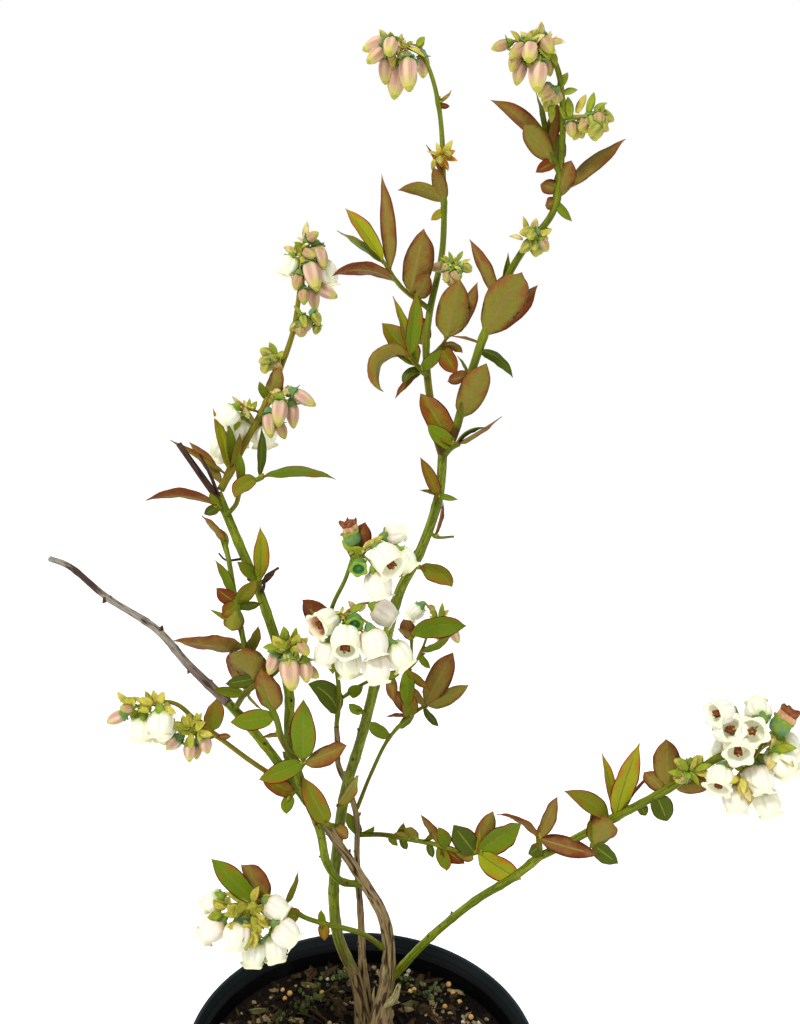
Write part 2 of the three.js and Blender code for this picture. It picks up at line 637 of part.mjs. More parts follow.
// A tapering limb through the path's points. "more" makes it thicker and longer all round.
function tube({ path, girths }, sides, step, more = 0) {
  const curve = new THREE.CatmullRomCurve3(path.map(vector));
  const steps = path.length > 2 ? Math.max(2, Math.round(curve.getLength() / step)) : 1;
  const points = curve.getSpacedPoints(steps);
  const radii = points.map((_, i) => along(girths, i / steps) + more);
  const tips = [points[0].clone().sub(points[1]), points[steps].clone().sub(points[steps - 1])];
  points[0].add(tips[0].setLength(more));
  points[steps].add(tips[1].setLength(more));
  return sweep(points, radii, sides);
}

// A slim three-sided stem or stalk.
function twig(path, girths) {
  return tube({ path, girths: girths.map((girth) => girth * TWIG_FULLNESS) }, TWIG_SIDES, TWIG_STEP);
}

// A leaf of twelve faces: a six-cornered outline, folded up at the midrib, with its tip bent back.
function leaf(base, [, lean, reach, length, width, roll]) {
  const forward = direction(lean, reach);
  const face = new THREE.Vector3(0, -1, 0).projectOnPlane(forward).normalize();
  face.applyAxisAngle(forward, THREE.MathUtils.degToRad(roll));
  const geometry = new THREE.SphereGeometry(1, 6, 2);
  const position = geometry.attributes.position;
  const thickness = length / LEAF_THINNESS + 0.2;
  for (let i = 0; i < position.count; i++) {
    const [x, y, z] = [position.getX(i), position.getY(i), position.getZ(i)];
    const place = (x + 1) / 2;
    const across = z * width * (0.55 + 0.04 * x);
    const height = (y * thickness) / 2 + LEAF_FOLD * Math.abs(across) - LEAF_DROOP * length * place * place;
    position.setXYZ(i, place * (length + ROOT_DEPTH) - ROOT_DEPTH, height, across);
  }
  geometry.applyMatrix4(new THREE.Matrix4().makeBasis(forward, face, forward.clone().cross(face)));
  geometry.translate(base.x, base.y, base.z);
  return solidOf(geometry);
}

// A blossom on the stalk that joins it to its truss.
function blossom(hub, [kind, right, back, up, lean, reach, length]) {
  const { belly, girth, mouth, sides } = BLOSSOMS[kind];
  const calyx = hub.clone().add(new THREE.Vector3(right, back, up));
  const at = (place) => calyx.clone().addScaledVector(direction(lean, reach), place * length);
  const radius = (girth * length) / 2;
  return sweep([hub, calyx, at(belly), at(1)], [STALK_RADIUS, STALK_RADIUS, radius, radius * mouth], sides);
}

// ---------------------------------------------------------------- pot and soil

// The inside radius of the pot's wall at a height.
function insideRadius(height) {
  const top = RIM_RADIUS - COLLAR_STEP - WALL;
  return THREE.MathUtils.mapLinear(height, 0, POT_HEIGHT - COLLAR_HEIGHT, FOOT_RADIUS - WALL, top);
}

function lathe(outline) {
  return solidOf(new THREE.LatheGeometry(outline.map(([r, z]) => new THREE.Vector2(r, z)), POT_SIDES)
    .rotateX(Math.PI / 2));
}

function makePot() {
  const collarFoot = POT_HEIGHT - COLLAR_HEIGHT;
  const ledge = POT_HEIGHT - LEDGE_DROP;
  const shell = lathe([
    [0, 0],
    [FOOT_RADIUS - 1, 0],
    [FOOT_RADIUS, 1.5],
    [RIM_RADIUS - COLLAR_STEP, collarFoot],
    [RIM_RADIUS - 0.8, collarFoot],
    [RIM_RADIUS, POT_HEIGHT - 1],
    [RIM_RADIUS - 0.8, POT_HEIGHT],
    [RIM_RADIUS - WALL, POT_HEIGHT - 0.8],
    [RIM_RADIUS - WALL - 0.5, ledge],
    [insideRadius(ledge), ledge - 1],
    [insideRadius(FLOOR), FLOOR],
    [0, FLOOR],
  ]);
  const holes = [];
  for (let i = 0; i < DRAIN_HOLES; i++) {
    const hole = new THREE.CylinderGeometry(DRAIN_RADIUS, DRAIN_RADIUS, 8 * WALL, 8);
    hole.translate(0, FOOT_RADIUS, DRAIN_HEIGHT);
    hole.rotateZ(((i + 0.5) / DRAIN_HOLES) * 2 * Math.PI);
    holes.push(solidOf(hole));
  }
  return shell.subtract(join(holes));
}

function makeSoil() {
  return lathe([
    [0, FLOOR + GAP],
    [insideRadius(FLOOR) - GAP, FLOOR + GAP],
    [insideRadius(SOIL_EDGE) - GAP, SOIL_EDGE],
    [SOIL_FLAT_RADIUS, SOIL_TOP],
    [0, SOIL_TOP],
  ]);
}

// ---------------------------------------------------------------- limbs and shoots

// All the ground up to the soil's level, a gap higher, for the flat cut under the crown.
function ground() {
  const block = new THREE.BoxGeometry(2 * RIM_RADIUS, 2 * RIM_RADIUS, SOIL_TOP);
  block.translate(0, 0, SOIL_TOP / 2 + GAP);
  return solidOf(block);
}

function limb(plan, more = 0) {
  const pieces = [plan, ...(plan.stubs ?? [])];
  return join(pieces.map((piece) => tube(piece, LIMB_SIDES, LIMB_STEP, more)));
}

// A shoot: its stem and twigs, and then each leaf and blossom that has room beside its neighbours.
function shoot(plan, seat, neighbours) {
  const stems = [plan, ...(plan.twigs ?? [])];
  const pieces = [];
  const hasRoom = (piece) => piece.intersect(neighbours).volume() < TOUCH;
  for (const { path, girths = plan.girths.map((girth) => girth * 0.75), leaves = [] } of stems) {
    const curve = new THREE.CatmullRomCurve3(path.map(vector));
    pieces.push(twig(path, girths));
    for (const size of leaves) {
      const blade = leaf(curve.getPointAt(size[0]), size);
      if (hasRoom(blade)) pieces.push(blade);
    }
  }
  for (const { hub, from, stalkFrom, blossoms } of plan.trusses ?? []) {
    const curve = new THREE.CatmullRomCurve3(plan.path.map(vector));
    const foot = stalkFrom ?? curve.getPointAt(from).toArray();
    pieces.push(twig([foot, hub], [STALK_RADIUS * 1.5, STALK_RADIUS * 1.3]));
    for (const bloom of blossoms) {
      const solid = blossom(vector(hub), bloom);
      if (hasRoom(solid)) pieces.push(solid);
    }
  }
  return mainBody(join(pieces).subtract(seat).asOriginal().simplify(SMOOTHING));
}

// ---------------------------------------------------------------- assembly

const group = new THREE.Group();
group.add(meshOf('pot', makePot(), 'pot'));
group.add(meshOf('soil', makeSoil(), 'soil'));

// Each limb is cut clear of the limb that carries it, and the crown is cut flat on the ground.
const cleared = {};
for (const [name, plan] of Object.entries(LIMBS)) {
  const carrier = plan.seat ? cleared[plan.seat] : ground();
  group.add(meshOf(name, mainBody(limb(plan).subtract(carrier)), plan.bark));
  cleared[name] = limb(plan, GAP);
}

// Each shoot is cut clear of its own limb, and keeps off the other limbs and the shoots before it.
let grown = null;
for (const [name, plan] of Object.entries(SHOOTS)) {
  const others = Object.keys(cleared).filter((other) => other !== plan.seat).map((other) => cleared[other]);
  const solid = shoot(plan, cleared[plan.seat], join(grown ? [...others, grown] : others));
  group.add(meshOf(name, solid, 'foliage'));
  grown = grown ? grown.add(solid) : solid;
}

export default group;
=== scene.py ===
import math
import random

import bmesh
import bpy
from mathutils import Matrix, Quaternion, Vector, noise


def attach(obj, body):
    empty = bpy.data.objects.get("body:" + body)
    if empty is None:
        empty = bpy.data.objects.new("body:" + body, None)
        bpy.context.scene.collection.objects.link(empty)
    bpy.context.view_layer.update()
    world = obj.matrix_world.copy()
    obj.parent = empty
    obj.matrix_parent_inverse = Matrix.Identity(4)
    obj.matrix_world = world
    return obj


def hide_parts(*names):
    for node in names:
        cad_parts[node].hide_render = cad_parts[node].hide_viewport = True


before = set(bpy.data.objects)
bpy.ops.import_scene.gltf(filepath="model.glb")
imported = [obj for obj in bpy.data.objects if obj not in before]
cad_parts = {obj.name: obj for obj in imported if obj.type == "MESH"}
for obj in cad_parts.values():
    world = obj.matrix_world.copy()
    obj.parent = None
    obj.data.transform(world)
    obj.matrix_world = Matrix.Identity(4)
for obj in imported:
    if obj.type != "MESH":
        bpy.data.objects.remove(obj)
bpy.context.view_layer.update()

# A young blueberry bush in flower, in a round black nursery pot. The plan is in millimetres, +Z up, with
# the origin in the middle of the pot's underside, and a piece becomes metres when it is finished.

MM = 0.001
TAU = 2 * math.pi

POT_HEIGHT = 160
RIM_RADIUS = 80
WALL_TOP_RADIUS = RIM_RADIUS - 4
FOOT_RADIUS = 60
COLLAR_FOOT = 146
LEDGE = 153.5
WALL = 1.6
FLOOR = 3
POT_SIDES = 120
DRAIN_HOLES = 6
DRAIN_RADIUS = 4
DRAIN_HEIGHT = 8
DRAIN_SIDES = 24
DRAIN_CUT = 14  # length of the plug that cuts a hole

SOIL_TOP = 148
SOIL_EDGE = 145.5
SOIL_FLAT_RADIUS = 34
SOIL_RADIUS = 74  # where the soil meets the wall
SOIL_SMOOTH = 70  # from here its bumps die away towards the wall
SOIL_GAP = 0.3  # between the soil and the pot
SOIL_RINGS = 60
SOIL_SIDES = 150
CROWN = (6, 20)  # the middle of the crown, to the right and back of the pot's middle
CROWN_RADIUS = 11
WALL_CLEARANCE = 3  # what lies loose on the soil keeps this far from the wall
CHIPS, CRUMBS, ROOTLETS, LOOSE_GRAINS = 420, 1100, 70, 14
ROOTLET_REACH = 68  # how far out a rootlet's ends may lie
MOSS_LEAVES = 26  # in a patch of size 1

LEAF_FOLD = 0.3  # how far a leaf's edges rise from its midrib, over its width
LEAF_NARROWING = 0.9  # how much of its planned width a folded leaf shows
LEAF_ROOT = 0.8  # how far a leaf's stalk is sunk in its twig
LEAF_THICKNESS = 0.16  # from the middle to each face
STALK_WIDTH = 0.42  # half of a leaf stalk's width
STALK = 0.55  # radius of a blossom's stalk
CALYX_DEPTH = 0.26  # how far a calyx stands behind its blossom's foot, over its size
PINK_FROM = 7.5  # a longer bud is pink
SMALL_BRACTS = 9  # round the hub of a truss, besides those in the plan
PEELING_STRIPS = 16
KNOT_LENGTH = 1.6  # of the swelling where a leaf once grew
TWIG_SHARE = 0.75  # girth of a side twig, over its shoot's

# The relief of these barks is always this deep
BARK_DEPTHS = {"old_bark": 0.4, "pale_bark": 0.4, "dark_bark": 0.2}

# The colours of the scales in a truss
SCALES = {
    "mixed": ("bract_yellow", "bract_green", "bract_green", "bract_cream"),
    "lime": ("bract_lime", "bract_lime", "bract_green", "bract_yellow"),
    "pale": ("bract_yellow", "bract_cream", "bract_cream", "bract_green"),
    "orange": ("bract_yellow", "bract_orange"),
}

# ---------------------------------------------------------------- the plan of the plant
#
# Directions are angles in degrees: "lean" is to the right of upright, seen from the front, and "reach" is
# how far it points to the back (+) or the front (-).
# A limb's skin is (bark, sides, length of a facet, depth of its relief, strands round it). Its girths are
# radii, spread evenly from its foot to its tip. Stubs are the stumps and forks that grow from it.
# A leaf is (place along its stem, lean, reach, length, width, roll, tint[, bend]). Roll 0 shows its upper
# face in front, and 180 its underside. Tints: g green, d dark, o olive, b bronze, r red-brown, y young.
# "Bend" is how much further right its tip leans than its foot.
# A truss's stalk leaves its stem at the place "start", or at the point "foot", and ends in its hub. At the
# stage "green" a truss has three small buds in the place of each flower.
# A flower is (kind, right, back, up of the hub, lean, reach, length). Kinds: bud, bell, cup (a wider bell),
# spent (a browned cup), berry, husk (a berry in a dried blossom) and scar (a small green bud).
# A bract is (right, up of the hub, lean, reach, length, width[, back of the hub]).

LIMBS = {
    "trunk": dict(skin=("old_bark", 36, 0.9, 0.4, 1.5), girths=(6.8, 3.9, 3, 2.7, 2.4, 2.1, 1.9), path=[
        (7, 20, 146), (8, 19, 165), (10, 17, 186), (7, 13, 213), (-3, 6, 236), (-10, 1, 250), (-23, -6, 274),
    ], stubs=[
        dict(girths=(4.8, 3, 1.9), path=[(1, 23, 146), (-0.8, 24, 165), (-2.8, 24.8, 184)]),
        dict(girths=(4.8, 3.4, 2.7), path=[(0, 21, 146), (-2.8, 20.5, 166), (-6.5, 19.3, 181)]),
        dict(girths=(2.2, 1.8, 1.1), bark="pale_bark", path=[(9, 17, 166), (13, 13, 172), (15, 11, 181)]),
    ]),
    "low_left_bough": dict(skin=("green_bark", 20, 1.5, 0.12, 1.2), girths=(2.1, 1.9), path=[
        (-23, -6, 274), (-29, -7, 282), (-36, -8, 292), (-48, -8, 308), (-55, -6, 315), (-63, -3, 322),
    ]),
    "dead_branch": dict(skin=("dead_bark", 20, 1.2, 0.14, 1.4), girths=(2.1, 1.7, 1.5, 1.3), path=[
        (-63, -3, 322), (-82, 9, 333), (-99, 20, 345), (-126, 34, 355), (-145, 42, 366), (-155, 46, 368),
    ]),
    "left_cane": dict(skin=("green_bark", 20, 1.5, 0.1, 1.2), girths=(1.5, 1.8, 2.1, 2.1, 2, 1.9), path=[
        (-3, 6, 235), (-13, -3, 242), (-19, -9, 254), (-22, -13, 271), (-32, -17, 300), (-36, -13, 315),
        (-37, -9, 331), (-50, 0, 367), (-61, 6, 389), (-71, 11, 409),
    ], stubs=[
        dict(girths=(1.6, 1.2), bark="dark_bark", path=[(-69, 10, 405), (-75, 9, 413), (-85, 2, 430)]),
        dict(girths=(0.9, 0.5), bark="dark_bark", path=[(-70, 10, 407), (-72.5, 6, 416), (-77, 4, 426)]),
        dict(girths=(0.8, 0.5), bark="dark_bark", path=[
            (-51, 1, 369), (-49, -3, 373), (-48, -5, 378), (-42.5, -8, 383),
        ]),
        dict(girths=(0.7, 0.4), bark="dark_bark", path=[(-59, 4, 383), (-66, 3, 382.4), (-69, 4, 385)]),
    ]),
    "main_cane": dict(skin=("cane_bark", 24, 1.5, 0.1, 1.2), girths=(2.7, 2.4, 2.2, 2), path=[
        (-6.2, 19.4, 180), (-14, 19, 198), (-17, 18, 220), (-16, 15, 248), (-13, 10, 278), (-7, 7, 304),
        (2, 5, 350), (7, 6, 372), (14, 8, 387), (21, 10, 411), (22, 11, 433),
    ], stubs=[
        dict(girths=(2.3, 1.8), bark="fork_bark", path=[(22, 11, 430), (19, 12.5, 438), (17, 14, 445)]),
        dict(girths=(2.3, 1.8), bark="fork_bark", path=[(22, 11, 430), (25, 8, 436), (27, 5, 443)]),
    ]),
    "brown_stem": dict(skin=("old_bark", 20, 1.2, 0.12, 1.4), girths=(1.7, 1.2), path=[
        (-2.8, 24.8, 183), (-4, 25, 202), (-7, 24, 235), (-8, 22.5, 258), (-11, 21, 270), (-17, 17, 287),
        (-17.5, 13, 299), (-18, 10, 308),
    ]),
    "right_cane": dict(skin=("green_bark", 20, 1.5, 0.08, 1.2), girths=(2, 1.7, 1.8), path=[
        (10, 18, 177), (13, 17, 182), (25, 12, 202), (35, 7, 217), (48, 1, 234), (62, -5, 249), (73, -9, 263),
    ]),
}

SHOOTS = {
    "top_left_shoot": dict(girths=(1.7, 0.8), path=[
        (17.2, 13.8, 444), (14, 18, 462), (13, 22, 476), (14, 25, 488), (18, 31, 513), (17, 37, 543),
        (14, 42, 570), (9, 44, 586), (5, 45, 592), (-3, 45, 595),
    ], leaves=[
        (0.19, -28, 12, 14, 10, 170, "b"), (0.54, -129, -20, 7, 4, 0, "y"),
        (0.56, -48, 5, 21, 7, 150, "o", -60), (0.56, -20, -12, 15, 7, 170, "b"),
        (0.6, -17, 12, 19, 5, 110, "r"), (0.81, 100, -20, 5, 3, 40, "r"), (0.82, 76, -10, 7, 3, 60, "y", -40),
    ], twigs=[
        dict(path=[(14, 25, 488), (8, 20, 492), (2, 17, 496), (-6, 14, 506)], leaves=[
            (0.3, 26, -30, 13, 9, 170, "b"), (0.41, 11, -10, 27, 14, 170, "b"),
            (0.65, -56, 0, 28, 10, 120, "r", -60), (0.83, -5, 8, 38, 8, 155, "b"),
            (0.95, -55, 20, 27, 8, 50, "g", 8), (0.98, -36, 0, 26, 8.5, 40, "y"),
        ]),
        dict(path=[(14, 18, 461), (10, 12, 465), (6, 8, 469)], leaves=[
            (0.26, -124, -5, 16, 5, 60, "r", -20), (0.32, -78, -20, 11, 5, 40, "d", -100),
            (0.34, 40, -45, 15, 6, 20, "g"), (0.56, -41, 5, 23, 12, 20, "o"),
            (0.9, -50, -10, 28, 9.5, 140, "o", -190), (0.97, -12, 0, 25, 7, 50, "y"),
            (0.98, 8, -15, 26, 8, 30, "g"),
        ]),
        dict(path=[(14, 20, 468), (19, 14, 473), (21, 12, 477)], leaves=[
            (0.6, 40, -30, 12, 6, 60, "b", 120), (0.65, 147, -25, 13, 9, 20, "b"),
            (0.97, 10, -8, 24, 15, 175, "o"), (0.98, 29, 12, 26, 10, 140, "b"),
        ]),
    ], trusses=[
        dict(hub=(-3, 45, 595), start=0.98, scales="pale", flowers=[
            ("bud", -7, -2, 1, -115, 0, 10), ("bud", -8, -3, -3, -140, -30, 10),
            ("bud", -4, -6, 0, -175, -45, 11), ("bud", -6, 2, -5, 180, -10, 11),
            ("bud", -1, 3, -7, -175, 0, 14), ("bud", 3, -3, -6, 175, -20, 15), ("bud", 9, 2, -3, 175, 20, 9),
        ], bracts=[
            (8, 0, 40, 0, 5, 3), (-1, 1, -60, 0, 5, 3), (4, -1, 115, -20, 8, 3), (1, -3, 170, -20, 8, 4),
            (-4, -2, -170, -40, 8, 4), (-7, 1, -40, -20, 6, 3), (-5, -4, 170, -20, 7, 4),
            (3, -4, 160, -30, 6, 4),
        ]),
        dict(hub=(16, 35, 550), start=0.69, scales="orange", flowers=[
            ("scar", -1, -4, -1, 180, -50, 3.4), ("scar", 1.5, -3, 1, 100, -50, 3.2),
        ], bracts=[
            (0, 0, -75, -20, 7, 3), (0, 0, -30, -15, 6, 2.5), (0, 0, 30, -10, 8, 3), (0, 0, 65, -20, 6, 3),
            (0, 0, 105, -20, 7, 3), (0, 0, 145, -20, 6, 2.5), (0, 0, -125, -20, 6, 3), (0, 0, 180, -30, 5, 3),
        ]),
        dict(hub=(22, 21, 506), start=0.38, stage="green", flowers=[
            ("bud", -2, -2, -4, -170, 0, 8), ("bud", 2, -3, -4, 180, -20, 8), ("bud", 5, 0, 0, 110, 0, 7),
            ("bud", 4, 1, -2, 155, -10, 7), ("bud", -3, 1, 0, -140, 10, 6),
        ], bracts=[(0, 1, -20, 0, 5, 2), (2, 2, 30, 0, 5, 2), (-2, 1, -55, 0, 4, 2), (3, 0, 60, -20, 6, 2)]),
    ]),
    "top_right_shoot": dict(girths=(1.8, 0.9), path=[
        (26.8, 5.2, 442), (31, -4, 465), (35, -10, 481), (41, -16, 500), (46, -19, 510), (55, -24, 523),
        (56, -27, 534), (55, -33, 552), (52, -37, 566), (47, -40, 574),
    ], leaves=[
        (0.02, 20, -33, 31, 12.5, 172, "o"), (0.15, -30, -10, 10, 3, 60, "g"),
        (0.16, -105, -20, 11, 6, 160, "r"), (0.23, 90, -15, 18, 7, 50, "d", 75),
        (0.25, -74, 0, 12, 4, 100, "b"), (0.27, 25, -34, 34, 16, 176, "o"), (0.27, 47, 5, 28, 10, 140, "r"),
        (0.37, -23, 10, 25, 7.5, 130, "b"), (0.39, 12, -15, 15, 4, 30, "g"),
        (0.65, 140, -15, 9, 3.5, 20, "g"), (0.65, -109, -20, 5, 5, 160, "b"),
        (0.66, 16, -25, 14, 8, 170, "b"), (0.67, 44, -5, 29, 8, 135, "b", 18),
        (0.68, -81, -10, 7, 6, 170, "b"), (0.74, -20, 15, 12, 8, 150, "g"),
    ], twigs=[
        dict(path=[(23, 9.5, 430), (26, 5, 434), (28, 2, 435)], leaves=[
            (0.5, -49, -10, 14, 8, 20, "g"), (0.6, -34, 10, 26, 12, 10, "b"), (0.76, 56, -10, 22, 7, 60, "b"),
            (0.8, 10, -20, 16, 5, 70, "d", 90),
        ]),
        dict(path=[(57, -27, 535), (53, -30, 540), (50, -31, 544)], leaves=[
            (0.5, -50, -25, 18, 9, 170, "o"), (0.5, -120, -20, 8, 5, 20, "r"),
            (0.53, -33, -10, 31, 6.5, 140, "b", -40), (0.97, 12, 10, 16, 7, 140, "b"),
            (0.98, -8, 12, 20, 5, 50, "g"),
        ]),
    ], trusses=[
        dict(hub=(45, -40, 574), start=0.99, scales="pale", flowers=[
            ("bud", -11, -1, 0, -110, 0, 6), ("bud", -6, -3, -1, -135, -20, 7),
            ("bud", -3, 2, 0, 175, -10, 8), ("bud", -6, 0, -5, -170, 0, 8), ("bud", -1, -3, -6, 180, -20, 11),
            ("bud", 2, 3, -2, 160, 10, 7), ("bud", -4, -4, -1, -175, -35, 8), ("bud", 0, -4, 1, 150, -35, 7),
            ("bud", -8, -2, -3, -165, -15, 7),
        ], bracts=[
            (2, -2, 35, 0, 6, 2.5), (-5, 0, -40, -20, 5, 3), (-2, -1, -20, -20, 5, 3, -2),
            (-7, 0, 30, -20, 5, 3), (-1, 0, 150, -30, 7, 4, -3), (-6, -3, 175, -30, 7, 4, -3),
            (-9, -1, -160, -20, 6, 3, -2), (-3, -4, 170, -40, 6, 4, -4), (0, -2, 120, -40, 6, 3, -4),
            (-5, -1, 60, -40, 6, 3, -4), (-3, -1, 0, -40, 5, 3, -2), (3, 0, 80, -20, 5, 3, -2),
            (1, -1, 20, -40, 5, 3, -3), (-9, 0, -50, -20, 5, 3, -2), (3, -3, 150, -30, 6, 3, -3),
        ]),
        dict(hub=(50, -36, 561), start=0.9, stage="green", flowers=[
            ("bud", -1, -2, 1, -130, -20, 6), ("bud", -1, 1, -2, -175, 10, 6), ("bud", 3, 0, 0, 130, 0, 5),
        ], bracts=[
            (3, 1, 25, 0, 6, 3), (5, -1, 70, 0, 5, 3), (0, -6, 175, -20, 6, 3), (-3, -1, -60, 0, 5, 3),
        ]),
        dict(hub=(66, -34, 554), start=0.84, stage="green", flowers=[
            ("bud", -9, 2, -4, -170, 0, 6), ("bud", -5, -2, -2, 175, 0, 7), ("bud", -4, 0, -5, 175, -10, 6),
            ("bud", -1, 2, -6, 175, -20, 6), ("bud", 2, -2, -2, 175, -10, 7), ("bud", 4, 1, 0, 130, 0, 5),
        ], bracts=[
            (-11, -1, -10, 0, 7, 3), (-8, 1, 20, 0, 7, 3), (-4, 1, 15, 0, 7, 3), (-1, 2, 50, 0, 5, 3),
            (-10, -4, 160, -20, 5, 3), (-13, -2, -30, -20, 5, 3),
        ]),
        dict(hub=(49, -23, 514), start=0.53, stage="green", flowers=[
            ("bud", -1, -3, 1, -105, -20, 7), ("bud", 1, 2, 1, 65, 0, 6), ("bud", -1, -1, -1, -160, -30, 6),
            ("bud", 3, -2, -1, 130, 0, 5),
        ], bracts=[
            (-3, 1, -15, 0, 7, 3), (-1, 2, 15, 10, 6, 3), (-5, -1, -70, 0, 5, 3), (3, 1, 50, 0, 5, 3),
        ]),
    ]),
    "left_shoot": dict(girths=(1.7, 0.9), bark="golden_twig", path=[
        (-70, 11.5, 410), (-63, 15, 425), (-53, 19, 446), (-43, 24, 475), (-41, 26, 489), (-40, 29, 507),
    ], leaves=[
        (0.02, -39, 20, 24, 7, 150, "b"), (0.07, -65, 0, 28, 5, 80, "b", 15),
        (0.08, -10, -10, 28, 5.5, 40, "y"), (0.09, 6, -25, 22, 5, 40, "g"), (0.1, 20, -30, 18, 4.5, 30, "o"),
        (0.4, 24, -20, 18, 9, 165, "o"), (0.41, -21, -30, 9, 4, 0, "g"),
    ], trusses=[
        dict(hub=(-40, 29, 508), start=0.99, scales="pale", flowers=[
            ("bell", -4.5, 0, -1, -160, -10, 8.6), ("bud", 2, -3, 6, 60, -20, 6),
            ("bud", 6, 0, 4, 160, -15, 11), ("bell", 7, 5, -2, 160, 0, 11.5),
            ("bud", 3, -3, -3, 160, -15, 13), ("bud", 1, -3, 1, 110, -40, 7),
            ("bud", -1, -3, -8, -170, -10, 7), ("bud", 7, 0, -13, 115, 0, 9),
            ("bud", 1, -2, -14, 175, -20, 7), ("bud", 4, 3, -13, 170, 0, 10),
        ], bracts=[
            (1, 7, 5, 0, 8, 3), (2, 0, 70, -20, 8, 4), (0, -3, 10, -30, 8, 3), (-1, -9, -20, -20, 8, 3),
            (0, -14, 30, -30, 8, 4), (-2, -8, 170, -30, 6, 3), (3, -5, 60, -20, 7, 4), (-3, 1, -70, 0, 6, 3),
        ]),
        dict(hub=(-41, 25, 481), start=0.73, stage="green", flowers=[
            ("bud", 3, -3, -4, 180, 0, 7), ("bud", 6, 0, -2, 175, -20, 8), ("bud", 9, 2, 0, 170, 0, 8),
            ("bud", 9, -2, 4, 130, 0, 7),
        ], bracts=[(2, 3, -40, 0, 5, 2)]),
        dict(hub=(-49, 20, 465), start=0.52, stage="green", flowers=[
            ("bud", -3, -2, 1, -100, 0, 9), ("bud", -4, 1, -2, -170, -10, 8),
            ("bud", -4, -4, -1, -140, -40, 7),
        ], bracts=[(0, 2, -30, 0, 6, 3)]),
        dict(hub=(-46, 17, 451), start=0.42, flowers=[
            ("bud", 5, 0, 1, 120, 0, 11), ("bud", 0, -4, -2, 180, -20, 12), ("bud", 4, 3, -4, 175, 5, 11),
            ("bud", -5, -2, -8, 170, -20, 11), ("bud", 0, -4, -12, 160, 0, 7),
        ], bracts=[(0, 0, -10, 0, 5, 2), (1, 0, 45, 0, 5, 3)]),
        dict(hub=(-60, 14, 444), start=0.3, flowers=[
            ("bell", -4, -4, 1, -140, -15, 8.8), ("bell", -2, 6, -4, -165, 10, 12),
            ("bell", 5, 8, -5, 175, 20, 12), ("bell", -8, 4, -12, -155, 10, 11),
        ], bracts=[
            (-1, 1, -50, 0, 7, 2), (1, 1, -35, 0, 4, 2), (2, 1, -5, 0, 4, 2), (-2, 1, -40, -30, 4, 2),
        ]),
    ]),
    "centre_twig": dict(girths=(1.1, 0.8), path=[
        (-18, 10, 308.5), (-17, 5, 324), (-18, -2, 339), (-20, -22, 369), (-14, -30, 386), (-11, -35, 397),
    ], leaves=[
        (0.06, -5, -20, 23, 11, 30, "d", -65), (0.52, 175, -15, 14, 6, 0, "g"),
        (0.54, -38, 12, 19, 13, 170, "r"), (0.97, 18, 10, 15, 10, 170, "r"),
    ], twigs=[
        dict(path=[
            (-17, 6, 322), (-7, 16, 326), (3, 24, 328), (14, 30, 330), (18, 33, 336), (21, 36, 345),
        ], leaves=[
            (0.1, 60, -10, 7, 6, 0, "g"), (0.43, 80, -10, 8, 4, 0, "g"), (0.5, 170, -10, 13, 6, 170, "b"),
            (0.64, 125, -30, 14, 5, 20, "b"), (0.66, 180, -25, 18, 8, 10, "g"), (0.8, 140, -10, 8, 4, 0, "g"),
            (0.83, 60, -15, 16, 6, 30, "g"),
        ]),
        dict(path=[(14, 30, 330), (13.5, 29, 338), (13, 27, 346)], leaves=[
            (0.8, -20, 5, 11, 8, 170, "r"), (0.81, -42, -20, 10, 6, 150, "b"),
            (0.97, 50, -10, 26, 13, 10, "g", 50),
        ]),
    ], trusses=[
        dict(hub=(-15, -26, 370), start=0.68, flowers=[
            ("bell", 2, -6, -4, 175, -62, 11.5), ("bell", 11, -7, -3, 160, -20, 11),
            ("bell", 19, -2, -10, 145, -5, 11), ("bell", 13, -5, -14, 165, -25, 11),
            ("bell", 2, 2, -15, 170, 0, 10.5), ("bell", -4, -2, -10, -160, -10, 9.5),
            ("bell", 12, 4, 3, 120, -10, 10), ("spent", -3, 1, -1, -110, -45, 10),
            ("berry", 5, -4, 1, 170, -70, 6),
        ], bracts=[(0, 0, -65, 0, 4, 2), (4, 0, 135, 0, 8, 3), (4, 2, 55, 0, 6, 3)]),
        dict(hub=(-9, -36, 397), start=0.99, flowers=[
            ("husk", -2, 2, 3, -20, -5, 9.8), ("berry", 0, -3, -2, 170, -70, 6),
            ("cup", 7, -3, 3, 130, -40, 11), ("bell", 6, -1, -6, 160, -10, 10.5),
            ("bell", 14, 5, 1, 140, 0, 9), ("bell", 9, 6, 6, 80, 20, 8),
        ], bracts=[(-3, 1, -45, 0, 6, 3), (2, 2, 40, 0, 6, 3), (3, 3, 50, 0, 8, 3), (1, -5, 175, -20, 2, 3)]),
        dict(hub=(24, 36, 349), start=0.68, foot=(21, 36, 345), flowers=[
            ("bud", 3, 1, -3, 175, 0, 8), ("bud", 7, -1, -2, 150, 0, 8), ("bell", -7, 3, 7, -140, 0, 8),
        ], bracts=[(0, 1, -15, 0, 8, 3), (2, 2, 10, 0, 8, 3), (2, 1, 35, 10, 7, 3)]),
    ]),
    "back_twig": dict(girths=(1, 0.8), path=[
        (-8, 22, 263), (-2, 27, 279), (5, 33, 293), (13, 38, 301), (22, 44, 306),
    ], leaves=[
        (0.59, -47, -15, 14, 7, 10, "g"), (0.7, 60, 40, 13, 6, 20, "g"), (0.82, -80, -10, 11, 5, 140, "r"),
        (0.82, -1, -15, 14, 9, 20, "o"), (0.83, -30, -10, 19, 8, 170, "r"), (0.97, -34, -5, 16, 6, 150, "b"),
        (0.97, 142, -10, 12, 5, 30, "d"), (0.98, 23, -5, 31, 13, 165, "b"), (0.99, 60, -10, 25, 9, 140, "o"),
    ]),
    "right_low_twig": dict(girths=(1.2, 0.9), path=[
